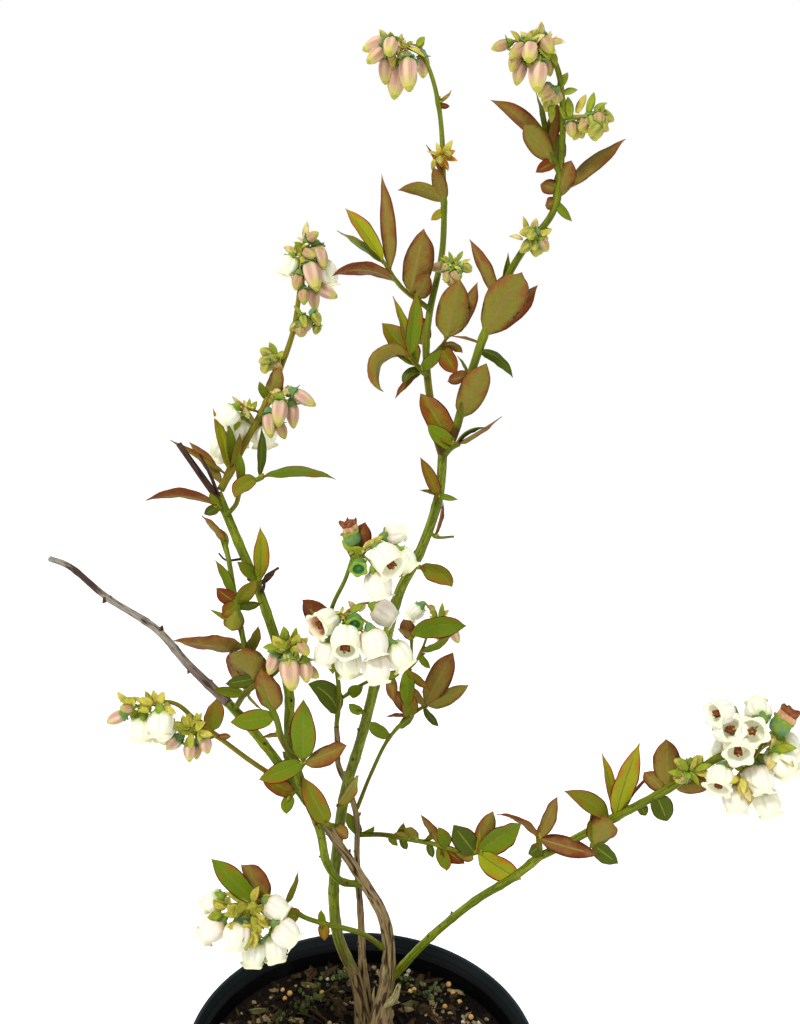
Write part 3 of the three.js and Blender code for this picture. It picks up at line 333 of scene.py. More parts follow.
        (-7, 23.5, 249), (4, 23, 250), (16, 22, 249), (30, 18, 249), (44, 12, 249), (48, 9, 252),
    ], leaves=[
        (0.02, 52, -5, 8, 5, 20, "g"), (0.02, -33, -5, 14, 6, 10, "g"), (0.25, 140, -15, 6, 4, 0, "g"),
        (0.3, 25, -10, 8, 5, 20, "g"), (0.34, 150, -20, 6, 4, 0, "d"), (0.4, -60, -5, 8, 5, 170, "o"),
        (0.52, 35, -15, 9, 5, 30, "o"), (0.56, 160, -20, 7, 4, 0, "d"), (0.72, -20, -25, 14, 7, 20, "g"),
        (0.78, 100, -30, 10, 6, 150, "o"), (0.82, -10, 20, 12, 6, 150, "b"),
        (0.45, -25, -10, 10, 8, 160, "o", -20), (0.65, -33, 5, 17, 7, 150, "b"),
        (0.64, 145, -10, 13, 7, 0, "g", 30), (0.67, 125, -15, 13, 10, 10, "r"),
        (0.95, -38, -5, 17, 12, 0, "d"), (0.97, 20, 15, 20, 9, 170, "o"), (0.97, 3, -15, 13, 3, 30, "y"),
        (0.98, 126, -5, 24, 12, 0, "y", -10), (0.99, 45, 0, 23, 15, 5, "g", 25),
    ]),
    "right_cane_end": dict(girths=(1.8, 1.5), path=[
        (71, -8, 260.5), (80, -11, 268), (97, -19, 285), (112, -26, 300), (124, -32, 313), (135, -38, 325),
        (141, -41, 324),
    ], leaves=[
        (0.37, -38, -15, 27, 9, 40, "o", -30), (0.39, -6, 10, 27, 6.5, 40, "y"),
        (0.4, 3, -10, 36, 11.5, 12, "y", 12), (0.41, 20, 5, 22, 6, 60, "r", 35),
        (0.48, 20, -30, 5, 5, 0, "g"), (0.52, 150, -30, 5, 5, 0, "d"), (0.6, 155, -20, 11, 10, 0, "d"),
        (0.64, -52, 15, 11, 9, 172, "b"), (0.65, 30, -30, 8, 4, 20, "g"), (0.66, -8, 5, 21, 12.5, 172, "b"),
        (0.68, 80, -10, 15, 8, 150, "b"),
    ], twigs=[
        dict(path=[(72, -8.5, 262), (71, -11, 267), (70, -12, 272)], leaves=[
            (0.6, -120, -30, 6, 7, 0, "d"), (0.95, 18, -5, 22, 8, 130, "b"),
            (0.97, 98, -15, 26, 9, 155, "r", -5), (0.98, -38, 5, 21, 9, 140, "r", -50),
            (0.98, 20, 15, 8, 4, 170, "b"),
        ]),
        dict(path=[(94, -17.5, 282), (91.5, -19, 273)], leaves=[
            (0.95, 8, -20, 19, 13, 168, "o", 20), (0.95, -5, 0, 17, 6, 40, "g"),
            (0.9, 118, -25, 12, 9, 0, "d"),
        ]),
    ], trusses=[
        dict(hub=(122, -35, 317), start=0.76, stage="green", flowers=[
            ("bud", -2, -2, 1, -60, -10, 6), ("bud", -2, -2, -2, -105, -20, 6), ("bud", 2, 2, 2, 60, -10, 6),
        ], bracts=[
            (-2, 0, -40, 0, 5, 2), (-1, 2, 15, 0, 4, 3), (1, 1, 80, 0, 4, 3), (-1, -2, -100, -10, 5, 2),
            (2, 1, 50, -20, 7, 3, -3), (0, 2, 10, -20, 7, 3, -3), (-2, 1, -30, -20, 7, 3, -3),
            (-3, -1, -75, -20, 7, 3, -3), (3, 0, 85, -20, 7, 3, -3), (0, 0, 140, -30, 6, 3, -3),
        ]),
        dict(hub=(143, -41, 323), start=0.99, flowers=[
            ("cup", -10, -1, 22, -95, -25, 9), ("cup", -12.5, 0, 13, 20, -60, 10),
            ("cup", -1, -1, 14.5, -50, -62, 10), ("cup", -7, -2, 11.5, -150, -68, 10),
            ("cup", -11, -2, -1, -150, -45, 9.5), ("bell", -4.5, -0.5, -8.5, 180, -25, 10.5),
            ("bell", 2, -0.5, 0, 170, -35, 11), ("bell", 6, 0.5, -10, 160, -20, 10.5),
            ("bell", 7.5, -3, 8.5, 147, 0, 11.5), ("bell", 4, 6, 1, 180, 5, 10),
            ("bell", 2, -1, 19, 10, 70, 9), ("husk", 8, 0, 13, 28, 0, 11.6), ("bell", 12, 7, 9, 135, 15, 11),
            ("bell", -5, 7, 6, -160, 20, 10), ("bell", 3, 9, 14, 20, 40, 8),
        ], bracts=[
            (9, 10, 70, 0, 7, 2), (11, 8, 95, 0, 6, 2), (-1, -2, 55, -20, 5, 3), (-3, -3, -55, 0, 5, 3),
            (5, 4, 60, -40, 7, 4), (4, 2, 150, -40, 6, 4), (7, 6, 20, -30, 6, 3), (2, -1, 110, -40, 6, 4),
            (0, 9, 30, -30, 5, 3), (3, -6, 170, -40, 6, 3), (-6, -6, 150, -40, 7, 4, -7),
            (-5, -4, -160, -40, 7, 4, -7), (-8, -3, -100, -40, 6, 3, -7), (-3, -5, 100, -40, 6, 3, -7),
            (9, 10, 120, -40, 8, 4, -5), (9, 11, 60, -40, 8, 4, -5), (8, 9, -150, -40, 7, 4, -5),
            (7, 12, -20, -40, 7, 4, -5), (-5, 3, 0, -30, 7, 3, -2), (-3, -8, 180, -40, 7, 4, -6),
        ]),
    ]),
    "low_left_twig": dict(girths=(1.3, 0.9), path=[
        (7, 14, 198), (-4, 3, 213), (-20, -6, 223), (-27, -10, 228), (-35, -14, 235), (-48, -18, 239),
    ], leaves=[
        (0.54, 175, -25, 7, 6, 10, "b"), (0.55, -5, -20, 8, 4, 0, "g"), (0.84, 25, 5, 17, 6, 50, "o"),
        (0.72, -64, -42, 15, 9, 15, "o"), (0.95, -20, 40, 16, 7, 20, "d"),
        (0.97, -2, 5, 20, 13, 160, "b", -50), (0.98, -46, 0, 28, 10, 25, "g"),
    ], trusses=[
        dict(hub=(-49, -19, 239), start=0.99, scales="lime", flowers=[
            ("bell", -12, -3, -5, -135, -10, 11), ("bell", -14, 5, 0, -130, 10, 9),
            ("bell", -5, -6, -4, 180, -30, 11), ("bell", 11, -5, -5, 125, -15, 11),
            ("bell", 6, 0, 2, 115, -15, 10), ("bell", 2, -3, -14, -175, -15, 10.5),
            ("bell", 9, 0, -13, 170, -15, 11), ("bell", -3, 6, -9, -175, 10, 11),
        ], bracts=[
            (0, 2, 15, -10, 8, 4), (-2, 1, -70, 0, 11, 3), (-4, 0, -65, -20, 6, 3), (2, -1, 80, 0, 6, 3),
            (3, -5, 150, -30, 7, 3), (5, -7, 110, -20, 6, 3), (-2, -1, -130, -10, 5, 3),
            (-13, 1, -40, -30, 8, 5, -5), (-11, 0, 50, -40, 7, 4, -6), (-15, -1, -100, -30, 6, 4, -5),
            (-12, 2, 10, -30, 7, 4, -4), (-3, 2, -10, -40, 8, 6, -6), (-1, 1, 60, -40, 8, 4, -6),
            (-5, 0, -70, -40, 8, 4, -6), (3, -8, 30, -40, 8, 5, -8), (2, -9, 160, -50, 7, 4, -8),
            (1, -7, -50, -40, 6, 4, -8), (-5, -5, -60, -50, 7, 3, -8), (-6, -5, 140, -50, 8, 3, -8),
            (4, -2, 100, -40, 7, 3, -7), (2, -1, 170, -40, 7, 4, -7), (-14, 3, -20, -40, 7, 5, -8),
            (-9, 3, 30, -40, 8, 5, -9), (-6, 4, -30, -50, 8, 5, -9), (1, 4, 10, -40, 8, 5, -9),
            (4, 1, 50, -50, 7, 4, -9), (1, -10, -150, -50, 7, 5, -10),
        ]),
    ]),
    "far_left_twig": dict(girths=(1.2, 0.8), bark="golden_twig", path=[
        (-34, -8, 288), (-46, -14, 298), (-59, -22, 312), (-71, -30, 326), (-78, -34, 334), (-87, -38, 336),
    ], leaves=[
        (0.56, 70, -30, 8, 3, 150, "r"), (0.58, -95, -20, 5, 3, 0, "g"), (0.61, 10, -10, 15, 9, 20, "o"),
        (0.64, -55, -20, 11, 5, 45, "g"),
    ], trusses=[
        dict(hub=(-87, -38, 335), start=0.99, scales="lime", flowers=[
            ("bell", 5, -3, -1, 175, -15, 9.8), ("bell", -2, 0, -5, -175, -5, 9.6),
            ("bell", 6, 4, -8, -165, 10, 9), ("bud", -9, -1, -4, -120, 0, 8), ("bud", -5, -3, 0, -95, -20, 5),
        ], bracts=[
            (-1, 0, -60, 0, 6, 2), (1, 0, -25, 0, 4, 2), (4, 1, -20, 0, 5, 3), (8, 1, 155, -20, 6, 3),
            (-4, -4, 160, -20, 4, 2), (-9, 2, -40, -30, 6, 3.4, -3), (-7, 1, 30, -40, 6, 3.4, -4),
            (-5, 3, -80, -30, 6, 3, -4), (-3, 0, 90, -40, 6, 3.4, -5), (3, 2, -60, -20, 6, 3.4, -3),
            (6, 2, 20, -20, 6, 3.4, -3), (8, 0, 100, -30, 6, 3.4, -3), (6, -3, 170, -40, 6, 3, -4),
        ]),
        dict(hub=(-71, -33, 325), start=0.78, scales="lime", flowers=[
            ("bud", -5, -1, -5, -135, 0, 7.6), ("bud", -1, -3, -6, 175, -15, 7.6),
            ("bud", 1, 1, -8, 180, 0, 7), ("bud", 4, -1, -4, 165, 0, 7.6),
        ], bracts=[
            (-4, 0, -60, -30, 6, 3.4, -3), (-2, 1, -10, -30, 7, 3.5, -4), (2, 0, 40, -30, 7, 3.5, -4),
            (4, -1, 90, -30, 6, 3.4, -4), (0, -2, 170, -40, 6, 3, -5), (0, 1, -80, -10, 5, 3),
            (0, 1, -35, 0, 5, 2), (1, 1, 30, 0, 5, 2), (-1, -1, -80, -30, 5, 2),
        ]),
    ]),
    "low_bough_spray": dict(girths=(1.1, 0.9), path=[(-33, -7.6, 287), (-35, -12, 286)], leaves=[
        (0.6, -50, -25, 17, 8, 20, "b"), (0.9, -150, -30, 8, 6, 0, "g", -40),
    ]),
    "pink_twig": dict(girths=(1.3, 0.9), path=[
        (-60, -4, 320), (-54, -12, 331), (-46, -18, 339), (-41, -22, 344), (-36, -28, 354),
    ], leaves=[
        (0.27, -80, -10, 13, 5, 25, "g"), (0.31, -10, -25, 27, 11, 175, "b"), (0.38, 25, 10, 10, 5, 170, "b"),
        (0.3, 135, -20, 10, 4, 45, "o"),
    ], trusses=[
        dict(hub=(-35, -29, 357), start=0.98, scales="lime", flowers=[
            ("bud", 0, -3, -3, 170, -15, 13), ("bud", 6, 0, -5, 170, -10, 9), ("bud", -5, 0, -2, -165, 0, 10),
            ("bud", 1, 3, -10, 175, 0, 9), ("bud", 4, -3, 3, 125, -40, 7), ("bud", 6, 3, -9, 125, 0, 7),
        ], bracts=[
            (0, 0, -55, 0, 7, 3), (0, 1, -10, -20, 7, 4), (1, 1, 15, 0, 8, 3), (-1, -1, -80, -30, 5, 3),
            (2, -1, 145, -20, 5, 3), (-3, 2, -30, -30, 7, 4, -4), (3, 3, 20, -30, 7, 4, -4),
            (0, 2, -60, -30, 6, 4, -5), (2, 1, 70, -30, 6, 3, -4), (-5, 1, -80, -30, 6, 3, -3),
            (5, 2, 40, -20, 6, 3, -3), (-1, -1, 160, -40, 6, 3, -5), (-2, 4, 0, -20, 7, 4, -2),
        ]),
    ]),
    "leafy_left_stem": dict(girths=(1.3, 1), path=[
        (-32, -17.5, 303), (-38, -22, 316), (-40, -24, 325), (-51, -24, 348), (-58, -16, 370), (-64, -5, 388),
        (-68, -1, 396),
    ], leaves=[
        (0.16, -105, 10, 8, 3, 165, "b"), (0.24, -90, -25, 18, 9, 15, "g"),
        (0.26, -13, -10, 21, 12, 170, "b"), (0.38, -26, -15, 21, 16, 170, "o"),
        (0.41, -96, -25, 12, 6, 10, "d"), (0.51, 28, -5, 12, 7, 40, "o"),
        (0.53, -87, -10, 28, 13, 150, "b", 20), (0.6, -53, 0, 15, 3, 60, "g"),
        (0.68, -175, -50, 11, 9, 170, "g"), (0.69, -123, -35, 7, 8, 0, "b"), (0.69, 83, -10, 10, 5, 20, "d"),
        (0.7, -51, -15, 10, 7, 0, "r"), (0.7, 41, -10, 13, 7, 10, "o"), (0.71, -23, 0, 18, 6, 60, "g"),
        (0.92, -10, 0, 8, 4, 40, "g"), (0.94, -30, -20, 16, 8, 135, "b"),
    ]),
    "left_cane_twig": dict(girths=(1.1, 0.8), path=[
        (-67, 8, 400), (-62, 4, 406), (-59, 0, 414), (-50, -4, 419),
    ], leaves=[
        (0.55, 4, -15, 17, 4.5, 40, "g"), (0.9, -100, -20, 12, 8, 20, "o", -60),
        (0.94, 6, -10, 21, 5, 50, "d"), (0.98, 62, -5, 31, 8, 45, "g", 55),
    ]),
    "left_cane_top_spray": dict(girths=(1, 0.8), path=[(-67, 9, 401), (-70, 7, 404)], leaves=[
        (0.95, -60, -10, 30, 9, 140, "r", -50), (0.9, -113, -35, 7, 5, 20, "d"),
        (0.8, -30, -20, 8, 4, 0, "g"),
    ]),
    "left_cane_mid_spray": dict(girths=(1, 0.8), path=[(-52, 1, 369), (-50.5, -4, 376)], leaves=[
        (0.95, 5, -15, 24, 8, 30, "y"), (0.9, -39, -25, 14, 6, 45, "g"), (0.7, 45, -20, 11, 3, 20, "r"),
    ]),
    "left_cane_low_spray": dict(girths=(1.1, 0.9), path=[(-31, -17, 300), (-29, -22, 306)], leaves=[
        (0.7, -65, 10, 10, 5, 0, "d"), (0.9, 61, -15, 23, 10, 130, "b"), (0.95, -102, -30, 19, 9, 20, "g"),
        (0.97, 0, -10, 29, 11.5, 8, "g"),
    ]),
    "trunk_tip_spray": dict(girths=(1.1, 0.9), path=[
        (-19, -4, 268), (-16, -12, 273), (-19, -19, 278),
    ], leaves=[
        (0.93, -27, -10, 24, 10, 5, "o"), (0.6, 100, -40, 10, 6, 170, "b"),
    ]),
    "main_cane_top_spray": dict(girths=(1, 0.8), path=[(22, 10, 414), (20.5, 5, 413)], leaves=[
        (0.9, -25, -10, 18, 6, 20, "b"), (0.8, -70, -20, 9, 3, 150, "d"), (0.8, 95, -30, 9, 3, 0, "g"),
    ]),
    "main_cane_twig": dict(girths=(0.8, 0.5), path=[(17.5, 9, 398), (21, 4, 396), (28, 2, 397)], leaves=[
        (0.4, 15, -5, 15, 5, 60, "r"),
    ]),
    "main_cane_leaf": dict(girths=(0.9, 0.7), path=[(13, 7, 383), (15, 3, 383)], leaves=[
        (0.8, 83, -5, 17, 10, 25, "o", 75), (0.7, -110, -20, 10, 6, 140, "b"),
    ]),
    "main_cane_low_leaf": dict(girths=(0.8, 0.6), path=[(-4.5, 6.5, 317), (-7, 2.5, 318)], leaves=[
        (0.9, -50, -20, 8, 5, 0, "g"),
    ]),
    "main_cane_foot_leaf": dict(girths=(0.9, 0.7), path=[(-13.5, 10.5, 273), (-16, 5, 273)], leaves=[
        (0.9, 32, -20, 24, 9, 125, "y"),
    ]),
}

# ---------------------------------------------------------------- ways and directions


def direction(lean, reach):
    """The way that a lean and a reach point."""
    lean, reach = math.radians(lean), math.radians(reach)
    return Vector((math.sin(lean) * math.cos(reach), math.sin(reach), math.cos(lean) * math.cos(reach)))


def spread(values, place):
    """The value at a place (0..1) of a list that is spread evenly from foot to tip."""
    at = place * (len(values) - 1)
    i = min(int(at), len(values) - 2)
    return values[i] + (values[i + 1] - values[i]) * (at - i)


def smoothstep(value, low, high):
    t = min(1, max(0, (value - low) / (high - low)))
    return t * t * (3 - 2 * t)


class Way:
    """A smooth line through some points, with places on it measured by length from 0 to 1."""

    FINE = 160

    def __init__(self, points):
        points = [Vector(p) for p in points]
        self.points = [2 * points[0] - points[1], *points, 2 * points[-1] - points[-2]]
        self.line = [self.bend(i / self.FINE) for i in range(self.FINE + 1)]
        self.run = [0.0]
        for one, other in zip(self.line, self.line[1:]):
            self.run.append(self.run[-1] + (other - one).length)
        self.length = self.run[-1]

    def bend(self, t):
        """The point at t on a Catmull-Rom curve, which keeps its bends tight where points lie close."""
        spans = len(self.points) - 3
        i = min(int(t * spans), spans - 1)
        t = t * spans - i
        a, b, c, d = self.points[i:i + 4]
        k = [max((q - p).length ** 0.5, 0.01) for p, q in ((a, b), (b, c), (c, d))]
        start = ((b - a) / k[0] - (c - a) / (k[0] + k[1]) + (c - b) / k[1]) * k[1]
        end = ((c - b) / k[1] - (d - b) / (k[1] + k[2]) + (d - c) / k[2]) * k[1]
        return b + start * t + (3 * (c - b) - 2 * start - end) * t * t + (2 * (b - c) + start + end) * t ** 3

    def at(self, place):
        """The point at a place."""
        goal = min(1, max(0, place)) * self.length
        low, high = 0, self.FINE
        while high - low > 1:
            middle = (low + high) // 2
            low, high = (middle, high) if self.run[middle] <= goal else (low, middle)
        share = (goal - self.run[low]) / max(self.run[high] - self.run[low], 1e-9)
        return self.line[low].lerp(self.line[high], share)

    def heading(self, place):
        return (self.at(place + 0.01) - self.at(place - 0.01)).normalized()

    def frames(self, count):
        """Evenly spread points, each with two directions across the way that don't twist along it."""
        ahead = self.heading(0)
        across = Vector((0, -1, 0.3)).cross(ahead).normalized()
        made = []
        for i in range(count + 1):
            turned = self.heading(i / count)
            across = ahead.rotation_difference(turned) @ across
            ahead = turned
            made.append((self.at(i / count), across.copy(), ahead.cross(across)))
        return made


def square_to(ahead, turn=0.0):
    """Two directions square to "ahead" and to each other, turned round it."""
    side = ahead.orthogonal().normalized()
    side.rotate(Quaternion(ahead, turn))
    return side, ahead.cross(side)


# ---------------------------------------------------------------- finishes


WHITE = (1, 1, 1, 1)


def rgb(code):
    """A screen colour as light."""
    parts = [int(code[i:i + 2], 16) / 255 for i in (0, 2, 4)]
    return tuple(((c + 0.055) / 1.055) ** 2.4 if c > 0.04045 else c / 12.92 for c in parts) + (1.0,)


class Value:
    """A number that changes over a surface, which Python's own operators work on."""

    def __init__(self, finish, socket):
        self.finish, self.socket = finish, socket

    def maths(self, operation, *values):
        return self.finish.add("ShaderNodeMath", {"operation": operation}, values)

    def __add__(self, other):
        return self.maths("ADD", self, other)

    def __sub__(self, other):
        return self.maths("SUBTRACT", self, other)

    def __rsub__(self, other):
        return self.maths("SUBTRACT", other, self)

    def __mul__(self, other):
        return self.maths("MULTIPLY", self, other)

    def __abs__(self):
        return self.maths("ABSOLUTE", self)

    __radd__, __rmul__ = __add__, __mul__


class Finish:
    """A material that is put together call by call."""

    def __init__(self, name, settings):
        self.material = bpy.data.materials.new(name)
        self.material.use_nodes = True
        self.tree = self.material.node_tree
        self.shader = self.tree.nodes["Principled BSDF"]
        for socket, value in settings.items():
            self.shader.inputs[socket].default_value = value

    def add(self, kind, settings=(), inputs=(), output=0):
        """Adds a node: its settings first, and then the values or links of its sockets."""
        node = self.tree.nodes.new(kind)
        for key, value in dict(settings).items():
            if key == "stops":
                while len(node.color_ramp.elements) < len(value):
                    node.color_ramp.elements.new(1)
                for element, (place, colour) in zip(node.color_ramp.elements, value):
                    element.position, element.color = place, colour
            else:
                setattr(node, key, value)
        for key, value in inputs.items() if isinstance(inputs, dict) else enumerate(inputs):
            if isinstance(value, Value):
                self.tree.links.new(value.socket, node.inputs[key])
            else:
                node.inputs[key].default_value = value
        return Value(self, node.outputs[output])

    def grain(self, stretch=(1, 1, 1)):
        """The surface's own coordinates, which each piece of the plant carries."""
        vector = self.add("ShaderNodeAttribute", {"attribute_name": "grain"}, {}, "Vector")
        return self.add("ShaderNodeMapping", {}, {"Vector": vector, "Scale": stretch})

    def wear(self):
        return self.add("ShaderNodeAttribute", {"attribute_name": "wear"}, {}, "Fac")

    def place(self):
        return self.add("ShaderNodeTexCoord", {}, {}, "Object")

    def split(self, vector):
        return [self.add("ShaderNodeSeparateXYZ", {}, [vector], i) for i in range(3)]

    def noise(self, vector, scale, detail=2.0, roughness=0.5):
        sizes = {"Vector": vector, "Scale": scale, "Detail": detail, "Roughness": roughness}
        return self.add("ShaderNodeTexNoise", {}, sizes, "Fac")

    def step(self, value, low, high, start=0.0, end=1.0):
        ends = {"Value": value, "From Min": low, "From Max": high, "To Min": start, "To Max": end}
        return self.add("ShaderNodeMapRange", {"interpolation_type": "SMOOTHSTEP"}, ends, "Result")

    def mix(self, share, one, other):
        return self.add("ShaderNodeMix", {"data_type": "RGBA"}, {0: share, 6: one, 7: other}, 2)

    def ramp(self, value, *stops):
        return self.add("ShaderNodeValToRGB", {"stops": stops}, [value])

    def bump(self, height, depth):
        """Relief "depth" metres deep."""
        sizes = {"Height": height, "Distance": depth, "Strength": 1.0}
        self.wire("Normal", self.add("ShaderNodeBump", {}, sizes))

    def wire(self, socket, value):
        self.tree.links.new(value.socket, self.shader.inputs[socket])


def leaf_face(name, heart, edge, vein, gloss, flushed):
    """A leaf's face: its colour runs from "heart" by the midrib to "edge" at the margins and the tip."""
    f = Finish(name, {"Specular IOR Level": 0.1})
    across, along, _ = f.split(f.grain())
    cloud = f.noise(f.place(), 130, 4, 0.65)
    reach = abs(across) * 0.6 + along * 0.44 + (cloud - 0.5) * 1.5
    colour = f.mix(f.step(reach, flushed, flushed + 0.42), rgb(heart), rgb(edge))
    rib = f.add("ShaderNodeMath", {"operation": "COSINE"}, [along * 44 - abs(across) * 11])
    rib = f.step(rib, 0.88, 1.0) * f.step(abs(across), 1.0, 0.5)
    mottle = f.noise(f.place(), 620, 2)
    colour = f.mix(f.step(mottle, 0.48, 0.72) * 0.32, colour, rgb(edge))
    f.wire("Base Color", f.mix(rib * 0.2, colour, rgb(vein)))
    f.wire("Roughness", f.step(cloud, 0.3, 0.7, gloss, gloss + 0.14))
    fine = f.noise(f.place(), 1400, 2)
    f.bump(fine * 0.6 + mottle * 0.6 - rib * 0.25, 0.00025)
    return f.material


def plain_leaf_part(name, colour, other, scale=400, gloss=0.5, **more):
    """A finish for thin, soft parts: two near colours in small clouds, over a fine relief."""
    f = Finish(name, {"Specular IOR Level": 0.1, **more})
    cloud = f.noise(f.place(), scale, 3, 0.6)
    f.wire("Base Color", f.mix(f.step(cloud, 0.35, 0.65), rgb(colour), rgb(other)))
    f.wire("Roughness", f.step(cloud, 0.3, 0.7, gloss, gloss + 0.12))
    f.bump(cloud, 0.00012)
    return f.material


def green_bark(name, sunny, shaded, brown, browned=0.62, speckled=0.66, woody=()):
    """Smooth green bark with brown patches and specks.

    It may turn woody downwards: (the height where it is green, where it is woody, the colour), in metres.
    """
    f = Finish(name, {"Specular IOR Level": 0.12})
    streak = f.noise(f.grain((1.5, 1.5, 0.06)), 1, 4, 0.6)
    colour = f.mix(f.step(streak, 0.36, 0.62), rgb(sunny), rgb(shaded))
    patch = f.noise(f.grain((0.9, 0.9, 0.035)), 1, 4, 0.65)
    colour = f.mix(f.step(patch, browned, browned + 0.1) * 0.8, colour, rgb(brown))
    if woody:
        _, _, height = f.split(f.place())
        age = f.step(height + (patch - 0.5) * 0.12, *woody[:2])
        colour = f.mix(age, colour, rgb(woody[2]))
    speck = f.step(f.noise(f.grain((3.2, 3.2, 0.5)), 1, 1), speckled, speckled + 0.05)
    f.wire("Base Color", f.mix(speck * 0.75, colour, rgb(brown)))
    f.wire("Roughness", f.step(streak, 0.3, 0.7, 0.42, 0.62))
    ribs = f.noise(f.grain((4, 4, 0.08)), 1, 3)
    f.bump(ribs * 0.6 + speck * 0.5, 0.0003)
    return f.material


def old_bark(name, pale, dark, groove, cracked=0.7, flaked=0.0, skinned=()):
    """Fibrous bark with grooves, cracks and flakes.

    Bare wood keeps a length of dark skin and a brown foot, "skinned" by three places to the right, in
    metres: the skin's two ends, and where the foot starts.
    """
    f = Finish(name, {"Specular IOR Level": 0.12})
    streak = f.noise(f.grain((3, 3, 0.07)), 1, 5, 0.7)
    colour = f.ramp(streak, (0.3, rgb(dark)), (0.5, rgb(pale)), (0.62, rgb(pale)), (0.75, rgb(dark)))
    crack = f.step(f.noise(f.grain((5.5, 5.5, 0.11)), 1, 3, 0.6), 0.42, 0.33)
    flake = f.step(f.noise(f.grain((2.4, 2.4, 0.15)), 1, 4, 0.65), 0.56, 0.64)
    colour = f.mix(flake * flaked, colour, rgb("beac7c"))
    if skinned:
        skin_tip, skin_root, foot_start = skinned
        ragged = f.split(f.place())[0] + f.noise(f.grain((2, 2, 0.3)), 1, 3, 0.6) * 0.016
        skin = f.step(ragged, skin_tip, skin_tip + 0.004) * f.step(ragged, skin_root - 0.006, skin_root, 1, 0)
        foot = f.step(ragged, foot_start, foot_start + 0.012)
        colour = f.mix(skin * 0.95, f.mix(foot * 0.8, colour, rgb("6e5b4e")), rgb("46322b"))
    depth = f.step(f.wear(), 0.2, 0.8)
    f.wire("Base Color", f.mix(crack * cracked, f.mix(depth, colour, rgb(groove)), rgb(groove)))
    f.wire("Roughness", f.step(streak, 0.3, 0.7, 0.75, 0.92))
    strands = f.noise(f.grain((7, 7, 0.12)), 1, 5, 0.7)
    f.bump(strands - crack * 0.6, 0.0009)
    return f.material


def petal(name, heart, tip, foot, rib, share, glow=0.2, light=0.0):
    """The wall of a blossom, from its foot to its mouth, with five ribs; its light argument sets a painted
    glow.
    """
    # Painted glow: the emission of strength light makes the wall shine by itself, for light let through thin
    # petals.
    settings = {"Specular IOR Level": 0.15, "Subsurface Weight": glow, "Subsurface Scale": 0.0015,
                "Emission Color": rgb(heart), "Emission Strength": light}
    f = Finish(name, settings)
    right, back, place = f.split(f.grain())
    cloud = f.noise(f.place(), 260, 3, 0.6)
    around = f.add("ShaderNodeMath", {"operation": "ARCTAN2"}, [back, right])
    wave = f.add("ShaderNodeMath", {"operation": "COSINE"}, [around * 5])
    # The ribs take the rib colour: a real cream stripe on the buds, and painted shade on the open blossoms.
    colour = f.mix(f.step(wave + (cloud - 0.5) * 1.5, -0.4, 0.9) * share, rgb(heart), rgb(rib))
    # Painted shade: the furrows between the ribs are darkened towards the foot colour.
    colour = f.mix(f.step(wave, -0.7, -1.0) * 0.45, colour, rgb(foot))
    # Towards the foot the wall turns to the foot colour: the blossom's own greener base, and on the open
    # blossoms also painted shade.
    colour = f.mix(f.step(place + (cloud - 0.5) * 0.2, 0.02, 0.25), rgb(foot), colour)
    colour = f.mix(f.step(place + (cloud - 0.5) * 0.25, 0.45, 0.92), colour, rgb(tip))
    f.wire("Base Color", colour)
    f.wire("Roughness", f.step(cloud, 0.3, 0.7, 0.5, 0.65))
    fine = f.noise(f.place(), 900, 3)
    f.bump(f.noise(f.grain((5, 5, 1.5)), 1, 3) + fine * 0.4, 0.0003)
    return f.material


def plastic(name, colour):
    """Scuffed black plastic, with a painted sheen: its rim above the ledge is coloured a paler grey."""
    f = Finish(name, {"Specular IOR Level": 0.1})
    scuff = f.noise(f.place(), 32, 6, 0.65)
    _, _, height = f.split(f.place())
    # Painted sheen: above the ledge the plastic turns a paler grey, for the light caught on the rim.
    shell = f.mix(f.step(height, (LEDGE - 1) * MM, (LEDGE + 2) * MM), rgb(colour), rgb("23282a"))
    f.wire("Base Color", f.mix(f.step(scuff, 0.5, 0.8) * 0.3, shell, rgb("202224")))
    f.wire("Roughness", f.step(scuff, 0.3, 0.75, 0.34, 0.6))
    f.bump(f.noise(f.place(), 900, 3) + scuff * 0.6, 0.00018)
    return f.material


def earth(name, dark, brown, scale, depth):
    """Peat and bark, in crumbs."""
    f = Finish(name, {"Specular IOR Level": 0.1})
    crumbs = f.noise(f.place(), scale, 6, 0.7)
    # The dark colour in the low spots of the crumb pattern is the peat's own dark, deepened into painted
    # shade in the gaps between crumbs.
    f.wire("Base Color", f.ramp(crumbs, (0.35, rgb(dark)), (0.62, rgb(brown)), (0.75, rgb(dark))))
    f.wire("Roughness", f.step(crumbs, 0.3, 0.7, 0.8, 0.98))
    f.bump(crumbs, depth)
    return f.material


def glowing(name, strength):
    """A white ground that is a little lit by itself."""
    return Finish(name, {
        "Roughness": 0.9, "Base Color": WHITE, "Emission Color": WHITE, "Emission Strength": strength,
    }).material


# ---------------------------------------------------------------- pieces


def mesh_object(name, bm, finishes):
    """An object, in metres, of a shape in millimetres."""
    bmesh.ops.scale(bm, vec=(MM, MM, MM), verts=bm.verts)
    mesh = bpy.data.meshes.new(name)
    bm.to_mesh(mesh)
    bm.free()
    for finish in finishes:
        mesh.materials.append(FINISHES[finish])
    made = bpy.data.objects.new(name, mesh)
    bpy.context.scene.collection.objects.link(made)
    return made


